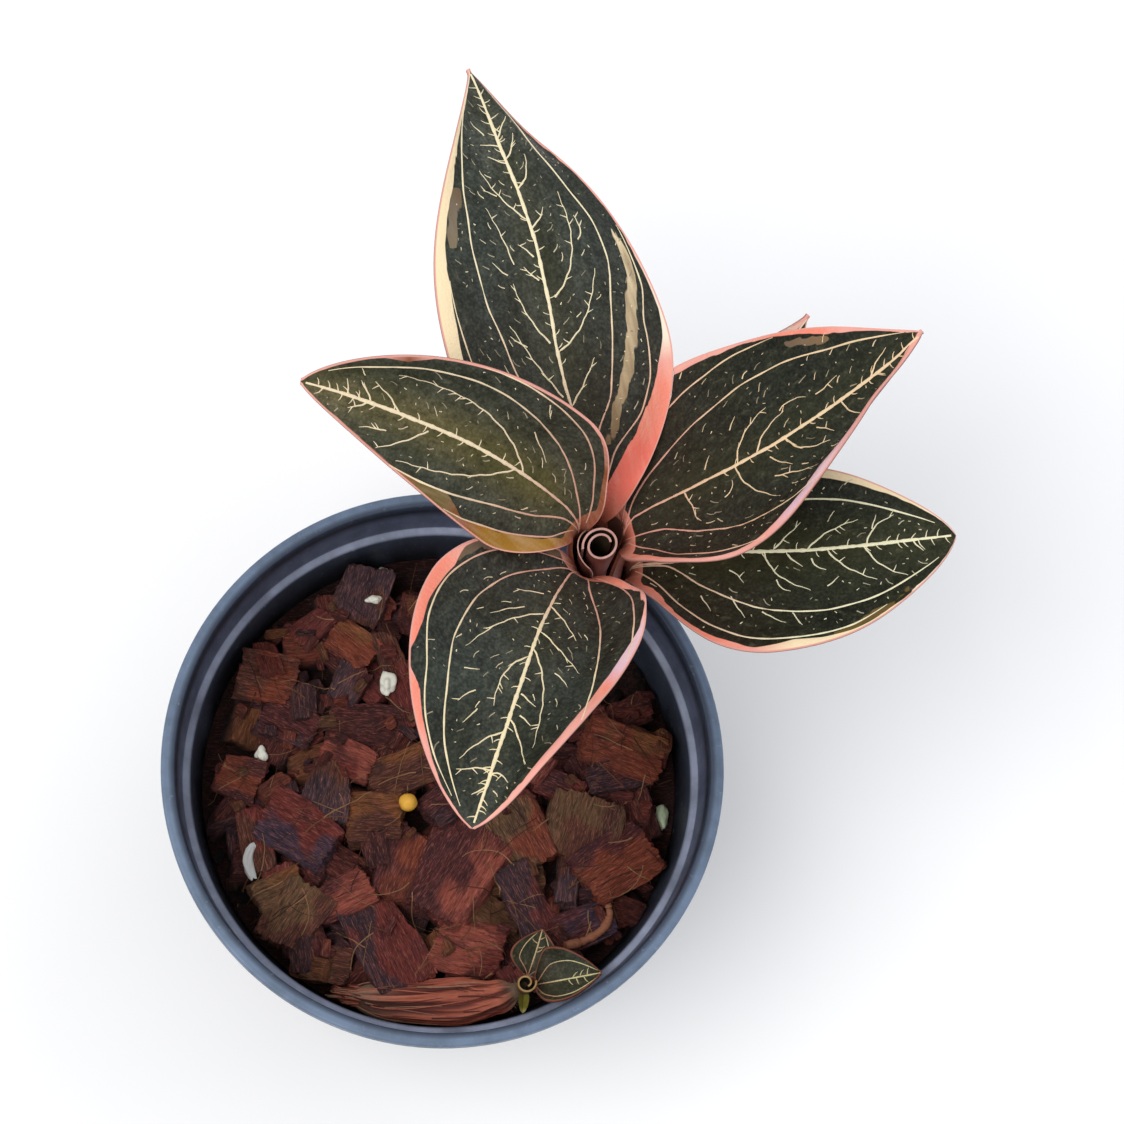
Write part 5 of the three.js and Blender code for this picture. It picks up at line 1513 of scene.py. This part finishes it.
# The large chips in sight: x, y, turn in degrees, length, width, thickness, then the colour, a
# second colour and the bearing of the side that shows it.
TOP_CHIPS = [
    (-34, 19.5, -12, 10, 9, 6, RUSTY, UMBER, 200), (-29, 11, -25, 11, 8, 5, WINE, INKY, 250),
    (-18, 4.5, -25, 12, 7.5, 5, ROSE, MAHOGANY, 200), (-22, -2, 80, 12, 9, 5.5, SLATE, UMBER, 90),
    (-26.5, -10, -30, 14.5, 11, 6, MAHOGANY, BLUE_BLACK, 240),
    (-12, -7, 0, 10, 9.5, 6, OCHRE, UMBER, 270), (-38.5, 0, -20, 8, 8, 5, RUSTY, WINE, 300),
    (2.5, -17.5, 60, 20, 14, 7, WINE, ROSE, 330), (-18, -22.5, 25, 11, 8.5, 6, ROSE, WINE, 230),
    (-10, -31.5, -65, 18, 12.5, 6, MAHOGANY, INKY, 200),
    (-27, -26.5, 60, 12.5, 10, 6, UMBER, KHAKI, 100),
    (-30.5, -21, 25, 10, 6, 5, KHAKI, OCHRE, 80), (-21.5, -35.5, -15, 9.5, 7.5, 5, UMBER, KHAKI, 200),
    (-7.5, 2.5, 25, 15, 8.5, 5.5, UMBER, OCHRE, 60), (-6.5, -16.5, 70, 14, 9, 5.5, RUSTY, WINE, 160),
    (5, -32, -15, 13, 12, 6.5, ROSE, MAHOGANY, 300), (-15.5, 36.5, 75, 11, 9.5, 6, SLATE, UMBER, 270),
    (-17.5, 26.5, -40, 9, 7, 5, RUSTY, OCHRE, 90), (-9, 20.5, -68, 20, 5, 4.5, MAHOGANY, UMBER, 90),
    (-18, 19, 60, 8, 7, 4.5, WINE, SLATE, 180), (16, -10, -60, 14, 12, 6.5, KHAKI, RUSTY, 0),
    (26.5, -8.5, 75, 12, 14.5, 6.5, KHAKI, UMBER, 300), (33.5, -15.5, 35, 17, 11, 6, RUSTY, WINE, 120),
    (35, 7.5, -20, 16, 9, 5.5, RUSTY, OCHRE, 60), (23, -0.5, -22, 10.5, 5.5, 4.5, MAHOGANY, WINE, 90),
    (17, -24, -62, 17, 8, 6, INKY, MAHOGANY, 0), (25, -18, 82, 12, 5, 5, SLATE, UMBER, 90),
    (27.5, -27.5, 25, 12, 7, 5, BLUE_BLACK, WINE, 200), (34.5, 1.5, 15, 13, 5.5, 4.5, INKY, WINE, 90),
    (-24, -31, -70, 8, 6, 5, UMBER, WINE, 0), (-35, -12, -75, 13, 5, 4.5, UMBER, MAHOGANY, 90),
    (1, -4, 40, 9, 7, 5, WINE, INKY, 0),
]
SHADE_FROM, SHADE_SPAN = 53.0, 4.2  # mm: painted shade makes bark near black up to the first and is gone above their sum
# painted shade over the whole bed, which lies below the chips
BED_SHADE = 0.6
SMALL_CELL, LARGE_CELL = 0.95, 0.5  # mm, the mesh of a packed chip's surface
LOOSE_SPREAD, FIBRE_SPREAD = 46.0, 43.0  # mm from the pot's axis
# Loose bark: seed, draws, spans of length, width and thickness, the ground that it lies no higher
# than, the share of its thickness that its middle stands above it, mesh and darkening.
LOOSE_CHIPS = dict(
    seed=61, count=150, spans=((5.0, 11.0), (3.0, 6.0), (2.0, 3.6)), ceiling=58.2, lift=0.2,
    cell=0.65, dark=0.9,
)
CRUMBS = dict(
    seed=31, count=210, spans=((1.8, 5.0), (1.2, 2.6), (0.9, 1.8)), ceiling=59.5, lift=0.1,
    cell=0.6, dark=0.8,
)
FIBRE_SEED, FIBRE_COUNT, FIBRE_STEP = 41, 240, 0.7
PERLITE, GREY_PERLITE = rgb(222, 220, 206), rgb(176, 176, 174)
GRAIN, PRILL = rgb(190, 204, 170), rgb(224, 168, 62)
# Bits lying on the bark: place, size, colour, seed of the lumps, lumpiness and bend.
GRIT = [
    ((-10.6, 18.7), (3.2, 4.2, 2.6), PERLITE, 1, 0.5, 0),
    ((-34.5, 4.8), (2.2, 3.2, 1.8), PERLITE, 2, 0.5, 0),
    ((-36.4, -16.2), (2.0, 7.0, 1.0), GREY_PERLITE, 3, 0.55, 1.2),
    ((-11.9, 42.7), (2.2, 1.8, 1.6), PERLITE, 4, 0.5, 0),
    ((-13.5, 35.2), (2.8, 1.6, 1.4), PERLITE, 5, 0.5, 0),
    ((43.0, -5.4), (2.6, 5.0, 2.2), GRAIN, 6, 0.4, 0),
    ((-6.3, -4.8), (3.5, 3.5, 3.5), PRILL, 7, 0.1, 0),
]
CRUMB_CLEARANCE = 2.5  # mm kept free round each of them
# The offshoot's root, seen from above; its height is the bark's.
ROOT_PATH = [(23.6, -31.9), (27.2, -30.7), (30.8, -28.5), (32.3, -25.8), (32, -23.4)]
ROOT_RADII, ROOT_TINT, ROOT_SEED = (0.95, 0.7), rgb(140, 88, 62), 9


def pick_tint(random):
    """One of the small pieces' colours."""
    weights = np.array([weight for _, weight in BARK_TINTS], dtype=float)
    return BARK_TINTS[random.choice(len(BARK_TINTS), p=weights / weights.sum())][0]


def box_grid(counts):
    """Points from -1 to 1 and faces of a box cut in counts cells along each axis."""
    points, faces, index = [], [], {}

    def vertex(key):
        if key not in index:
            index[key] = len(points)
            points.append([2 * place / count - 1 for place, count in zip(key, counts)])
        return index[key]

    for axis in range(3):
        one, two = [a for a in range(3) if a != axis]
        for level in (0, counts[axis]):
            for a in range(counts[one]):
                for b in range(counts[two]):
                    ids = []
                    for da, db in ((0, 0), (1, 0), (1, 1), (0, 1)):
                        key = [0, 0, 0]
                        key[axis], key[one], key[two] = level, a + da, b + db
                        ids.append(vertex(tuple(key)))
                    outward = (level > 0) != (axis == 1)
                    faces.append(tuple(ids) if outward else tuple(reversed(ids)))
    return np.array(points), faces


def chip_surface(size, corners, cell, random, relief=1.0):
    """Points and faces of a chip of bark: layered and grooved along its grain, frayed at its ends."""
    unit, faces = box_grid([max(2, int(round(length / cell))) for length in size])
    far = np.linalg.norm(unit, axis=1)[:, None]
    rounded_unit = unit * (1 - 0.1 * (far / math.sqrt(3)) ** 6)
    place = np.zeros_like(unit)
    for corner, at in zip(CORNERS, corners):
        weight = np.prod((1 + rounded_unit * np.array(corner)) / 2, axis=1)
        place += weight[:, None] * np.array(at)
    shift = random.uniform(-200, 200, 3)
    moved = place.copy()
    for n, (point, out) in enumerate(zip(place, unit / far)):
        x, y, z = point
        groove = noise.noise(Vector((0.07 * x, 0.8 * y, 0.8 * z)) + Vector(shift))
        rib = noise.noise(Vector((0.2 * x, 2.1 * y, 2.1 * z)) - Vector(shift))
        flake = noise.noise(Vector((0.13 * x, 0.3 * y, 0.3 * z)) - Vector(shift))
        fray = noise.noise(Vector((0.0, 1.5 * y, 1.5 * z)) + Vector(shift))
        end = max(0.0, abs(unit[n][0]) - 0.7) / 0.3
        moved[n] += out * relief * (0.34 * groove + 0.2 * rib + 0.7 * round(flake * 3) / 3)
        moved[n][0] += np.sign(unit[n][0]) * 0.7 * relief * fray * end
    return moved, faces, place + shift


def keep_inside(verts):
    """Holds points of the bark within the pot's wall, which counts as upright above a height."""
    wall_upright_from = 59.0
    reach = np.hypot(verts[:, 0], verts[:, 1])
    most = inner_radius(np.minimum(verts[:, 2], wall_upright_from)) - GAP
    verts[:, :2] *= np.minimum(1, most / np.maximum(reach, 1))[:, None]
    return verts


def bark_piece(name, batch, material):
    """A piece of bark, darkened by painted shade in its low hollows; gives back its points and faces.
    """
    verts, tints = np.concatenate(batch.verts), np.concatenate(batch.tints)
    # painted shade: the lower the point, the darker
    shade = 1 - smooth((verts[:, 2] - SHADE_FROM) / SHADE_SPAN)
    grain = np.concatenate(batch.grains)
    add_bark(name, verts, batch.faces, material, grain, tints, shade, 38)
    return verts, batch.faces


def add_bark(name, verts, faces, material, grain, tints, shade, sharp=60):
    """A piece with what the bark's material reads at each point."""
    layers = {
        "grain": ("FLOAT_VECTOR", grain), "tint": ("FLOAT_COLOR", tints), "shade": ("FLOAT", shade),
    }
    return add_piece(name, verts, faces, material, layers, sharp)


def rotation(x, y, z):
    """The matrix of turns about X, Y and Z."""
    return np.array(Euler((x, y, z), "XYZ").to_matrix())


def strayed_corners(size, draw):
    """The corners of a chip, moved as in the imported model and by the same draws."""
    corners = []
    for corner in CORNERS:
        stray = [1 + share * CHIP_ROUGHNESS * (2 * draw() - 1) for share in (1, 2, 2)]
        corners.append(np.array(corner) * size / 2 * np.array(stray))
    return corners


def build_chips():
    """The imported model's chips, by the same draws, with a fine surface: small ones, large ones."""
    draw = seeded(CHIP_SEED)
    random = np.random.default_rng(CHIP_SEED)

    def between(span):
        return lerp(span[0], span[1], draw())

    def tilt(most):
        return math.radians(most) * (2 * draw() - 1)

    golden = math.pi * (3 - math.sqrt(5))
    small, large = Batch(), Batch()
    for i in range(CHIPS):
        size = np.array((between(CHIP_LENGTH), between(CHIP_WIDTH), between(CHIP_THICKNESS)))
        reach = inner_radius(MIX_TOP) - CHIP_CLEARANCE - math.hypot(size[0], size[1]) / 2
        radius = min(reach, CHIP_SPREAD * math.sqrt((i + 0.5) / CHIPS))
        angle = i * golden + CHIP_STRAY * draw()
        turn = rotation(tilt(CHIP_TILT), tilt(CHIP_TILT), math.pi * draw())
        centre = ring(radius, angle, MIX_TOP + between(CHIP_LIFT))
        verts, faces, grain = chip_surface(size, strayed_corners(size, draw), SMALL_CELL, random)
        small.add(keep_inside(verts @ turn.T + centre), faces, pick_tint(random), grain)
    for x, y, heading, length, width, thickness, first, second, bearing in TOP_CHIPS:
        size = np.array((length, width, thickness))
        turn = rotation(tilt(TOP_CHIP_TILT), tilt(TOP_CHIP_TILT), math.radians(heading))
        verts, faces, grain = chip_surface(size, strayed_corners(size, draw), LARGE_CELL, random)
        verts = verts @ turn.T
        toward = verts @ ring(1.0, math.radians(bearing), 0.0)
        blot = np.array([noise.noise(Vector(p) * 0.22) for p in grain])
        share = smooth(0.5 + 0.22 * (toward + 9 * blot - 0.12 * length))[:, None]
        tints = lerp(first, second, share)
        large.add(keep_inside(verts + (x, y, TOP_CHIP_LEVEL)), faces, tints, grain)
    return small, large


def build_bed(material):
    """The mix below the chips: a plain body filling the pot, crumbly on top."""
    bottom = FLOOR + GAP
    turns = circle(96)
    rings = [ring(4, turns, bottom)]
    rings += [ring(inner_radius(z) - GAP, turns, z) for z in (bottom, 15, 30, 45)]
    edge = inner_radius(BED_TOP) - GAP
    for share in np.linspace(1, 0.04, 44):
        x, y = edge * share * np.cos(turns), edge * share * np.sin(turns)
        rough = np.array([noise.noise(Vector((0.35 * a, 0.35 * b, 3))) for a, b in zip(x, y)])
        rings.append(np.stack([x, y, BED_TOP - 0.4 + 1.8 * rough * (share < 0.99)], axis=1))
    verts, faces = loft_mesh(np.array(rings))
    # the bed gets an even share of painted shade
    tints, shade = np.tile(BED_TINT, (len(verts), 1)), np.full(len(verts), BED_SHADE)
    piece = add_bark("mix_bed", verts, faces, material, verts, tints, shade)
    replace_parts(piece, "bark_mix")
    return verts, faces


def height_finder(meshes):
    """A function that finds the height of the topmost mesh over a place."""
    trees = [BVHTree.FromPolygons([tuple(v) for v in verts], faces) for verts, faces in meshes]
    above = 90.0

    def top(x, y):
        hits = [tree.ray_cast(Vector((x, y, above)), -UP)[0] for tree in trees]
        heights = [hit.z for hit in hits if hit is not None]
        return max(heights) if heights else MIX_TOP

    return top


def scatter(top, seed, count, spans, ceiling, lift, cell, dark):
    """Loose bark lying in the hollows, each piece tilted to what carries it."""
    random = np.random.default_rng(seed)
    bark = Batch()
    for _ in range(count):
        radius, angle = LOOSE_SPREAD * math.sqrt(random.uniform()), random.uniform(0, 2 * math.pi)
        x, y = radius * math.cos(angle), radius * math.sin(angle)
        size = np.array([random.uniform(*span) for span in spans])
        heading = random.uniform(0, math.pi)
        corners = [np.array(c) * size / 2 * random.uniform(0.75, 1.2, 3) for c in CORNERS]
        if math.hypot(x, y) + size[1] / 2 > inner_radius(MIX_TOP) - 0.6:
            continue
        from_grit = min(math.hypot(x - a, y - b) for (a, b), *_ in GRIT)
        if from_grit < CRUMB_CLEARANCE + size[0] / 2:
            continue
        here, along = np.array((x, y)), np.array((math.cos(heading), math.sin(heading)))
        aside = np.array((-along[1], along[0]))
        ahead, behind = (top(*(here + way * along * size[0] * 0.35)) for way in (1, -1))
        left, right = (top(*(here + way * aside * size[1] * 0.4)) for way in (1, -1))
        level = (ahead + behind + left + right) / 4
        if level > ceiling:
            continue
        pitch = np.clip(math.atan2(behind - ahead, 0.7 * size[0]), -0.6, 0.6)
        roll = np.clip(math.atan2(left - right, 0.8 * size[1]), -0.6, 0.6)
        verts, faces, grain = chip_surface(size, corners, cell, random, min(1.0, size[2] / 4))
        verts = verts @ rotation(roll, pitch, heading).T + (x, y, level + lift * size[2])
        tint = pick_tint(random) * (dark, dark, dark, 1.0)
        bark.add(keep_inside(verts), faces, tint, grain)
    return bark


def build_fibres(material, top):
    """Loose fibres lying over the bark."""
    random = np.random.default_rng(FIBRE_SEED)
    fibres = Batch()
    for _ in range(FIBRE_COUNT):
        radius, angle = FIBRE_SPREAD * math.sqrt(random.uniform()), random.uniform(0, 2 * math.pi)
        x, y = radius * math.cos(angle), radius * math.sin(angle)
        heading, turn = random.uniform(0, 2 * math.pi), random.uniform(-0.09, 0.09)
        points = []
        for _ in range(int(random.uniform(6, 18))):
            if math.hypot(x, y) > inner_radius(MIX_TOP) - 1.0:
                break
            points.append((x, y, top(x, y) + 0.12))
            x, y = x + FIBRE_STEP * math.cos(heading), y + FIBRE_STEP * math.sin(heading)
            heading += turn + random.uniform(-0.12, 0.12)
        if len(points) < 4:
            continue
        points = np.array(points)
        points[1:-1, 2] = np.maximum(points[1:-1, 2], (points[:-2, 2] + points[2:, 2]) / 2)
        radii = np.linspace(1, 0.5, len(points)) * random.uniform(0.06, 0.15)
        fibres.strand(points, radii, FIBRE_TINTS[random.integers(len(FIBRE_TINTS))], 4)
    fibres.piece("bark_fibres", material, "bark")


def build_root(material, top):
    """The offshoot's root, lying on the bark, its heights evened out and its girth knobbly."""
    count, window = 40, 9
    course = catmull(ROOT_PATH, np.linspace(0, 1, count))
    heights = [top(x, y) + 0.6 for x, y in course]
    heights = np.pad(heights, window // 2, mode="edge")
    heights = np.convolve(heights, np.full(window, 1 / window), mode="valid")
    knobs = np.random.default_rng(ROOT_SEED).uniform(0.78, 1.12, count)
    root = Batch()
    radii = np.linspace(*ROOT_RADII, count) * knobs
    root.strand(np.column_stack([course, heights]), radii, ROOT_TINT, 10)
    root.piece("offshoot_root", material, "husk")


def pebble(place, size, seed, rough, bend):
    """A small rounded lump, bent sideways along its length, as points and faces."""
    turns = circle(22)
    polar = np.linspace(np.pi - 0.02, 0.02, 16)
    unit = np.array([ring(np.sin(a), turns, np.cos(a)) for a in polar])
    lumps = np.array([
        [noise.noise(Vector(p) * 1.3 + Vector((seed, 0, 0))) for p in row] for row in unit
    ])
    verts, faces = loft_mesh(unit * (1 + rough * lumps[..., None]) * np.array(size) / 2)
    verts[:, 0] += bend * (2 * verts[:, 1] / size[1]) ** 2
    return verts + np.array(place), faces


def build_grit(material, top):
    """Perlite, a seed and a fertiliser prill, each resting on the highest bark below it."""
    grit = Batch()
    for (x, y), size, color, seed, rough, bend in GRIT:
        reach = 0.35 * min(size[:2])
        below = [(x, y), (x + reach, y), (x - reach, y), (x, y + reach), (x, y - reach)]
        z = max(top(a, b) for a, b in below) + 0.34 * size[2]
        grit.add(*pebble((x, y, z), size, seed, rough, bend), color)
    grit.piece("grit", material, "bark")


def build_mix(bark, fibre, husk, grit):
    """The bed, its chips, the loose bark in their hollows, and what lies on top."""
    layers = [build_bed(bark)]
    for name, chips in zip(("bark_chips", "top_chips"), build_chips()):
        layers.append(bark_piece(name, chips, bark))
    loose = scatter(height_finder(layers), **LOOSE_CHIPS)
    layers.append(bark_piece("loose_chips", loose, bark))
    surface = height_finder(layers)
    bark_piece("bark_crumbs", scatter(surface, **CRUMBS), bark)
    build_fibres(fibre, surface)
    build_root(husk, surface)
    build_grit(grit, surface)


# ---- stage -----------------------------------------------------------------------------------
FLOOR_HALF = 3000.0
EYE, AIM = Vector((-19.4, -109.9, 624.8)) * MM, Vector((21.98, 39.28, 76)) * MM
LENS, SENSOR = 96.0, 36.0
# Lights in metres, watts and linear colour.
KEY_LIGHT = dict(place=(-0.55, -0.25, 1.25), size=0.9, power=10.4, color=(1.0, 0.985, 0.96))
FILL_LIGHT = dict(place=(0.8, 0.5, 0.9), size=1.2, power=3.4, color=(0.95, 0.97, 1.0))
LIGHT_TARGET = (0.022, 0.039, 0.076)
SKY_COLOR, SKY_STRENGTH = (0.94, 0.96, 1.0, 1.0), 0.69


def stage_material():
    """The floor's near-white, a little uneven."""
    material, tree, shader = new_material("pale_floor", Roughness=0.9)
    cloud = noise_value(tree, object_mm(tree, (0.004, 0.004, 0.004)), 2.0)
    pale = blend(tree, remap(tree, cloud, 0.3, 0.7), rgb(246, 246, 247), rgb(250, 250, 250))
    tree.links.new(pale, shader.inputs["Base Color"])
    return material


def area_light(name, place, size, power, color):
    """A round soft light aimed at the plant."""
    light = bpy.data.lights.new(name, "AREA")
    light.shape, light.size, light.energy, light.color = "DISK", size, power, color
    lamp = bpy.data.objects.new(name, light)
    lamp.location = place
    lamp.rotation_euler = (Vector(LIGHT_TARGET) - Vector(place)).to_track_quat("-Z", "Y").to_euler()
    bpy.context.scene.collection.objects.link(lamp)


def set_stage():
    """The pale floor, two soft lights and an even sky."""
    half = FLOOR_HALF
    corners = [(-half, -half, 0), (half, -half, 0), (half, half, 0), (-half, half, 0)]
    add_piece("floor", corners, [(0, 1, 2, 3)], stage_material(), stage=True)
    area_light("key_light", **KEY_LIGHT)
    area_light("fill_light", **FILL_LIGHT)
    world = bpy.data.worlds.new("studio")
    world.use_nodes = True
    sky = world.node_tree.nodes["Background"].inputs
    sky["Color"].default_value = SKY_COLOR
    sky["Strength"].default_value = SKY_STRENGTH
    bpy.context.scene.world = world
    bpy.context.scene.view_settings.view_transform = "Standard"


def set_camera():
    """The photograph's camera, upright along +Y."""
    lens = bpy.data.cameras.new("camera")
    lens.lens, lens.sensor_width = LENS, SENSOR
    camera = bpy.data.objects.new("camera", lens)
    camera.location = EYE
    back = (EYE - AIM).normalized()
    right = Vector((0, 1, 0)).cross(back).normalized()
    camera.rotation_euler = Matrix((right, back.cross(right), back)).transposed().to_euler()
    bpy.context.scene.collection.objects.link(camera)
    bpy.context.scene.camera = camera


# ---- build -----------------------------------------------------------------------------------
blade_skin = leaf_material()
vein_skin = tinted_material("leaf_vein", 0.45, (3, 3, 3), 0.03, 0.15)
build_leaves(stem_leaves(), BLADE_MESH, leaf_veins, blade_skin, vein_skin)
build_leaves(offshoot_leaves(), SMALL_BLADE_MESH, small_leaf_veins, blade_skin, vein_skin)

shoot_skin = tinted_material("shoot_skin", 0.42, (1.2, 1.2, 0.4), 0.06, 0.3)
above_stem = np.array((0, 0, GAP))
build_stem(shoot_skin)
build_roll("new_leaf_roll", "new_leaf", NEW_LEAF, NEW_LEAF_SKIN, CROWN + above_stem, shoot_skin)
build_roll("offshoot_roll", "offshoot_new_leaf", OFFSHOOT_NEW_LEAF, OFFSHOOT_SKIN,
           OFFSHOOT_PATH[-1] + above_stem, shoot_skin)
for scale in CROWN_SCALES:
    build_crown_scale(scale, shoot_skin)
build_bract(shoot_skin)

husk_skin = tinted_material("husk", 0.75, (0.5, 3.0, 3.0), 0.12, 0.35)
fibre_skin = tinted_material("fibre", 0.8, (2, 2, 2), 0.03, 0.3)
grit_skin = tinted_material("grit", 0.6, (1.5, 1.5, 1.5), 0.06, 0.12)
build_husk(husk_skin, fibre_skin)
build_pot(pot_material())
build_mix(bark_material(), fibre_skin, husk_skin, grit_skin)

set_stage()
set_camera()
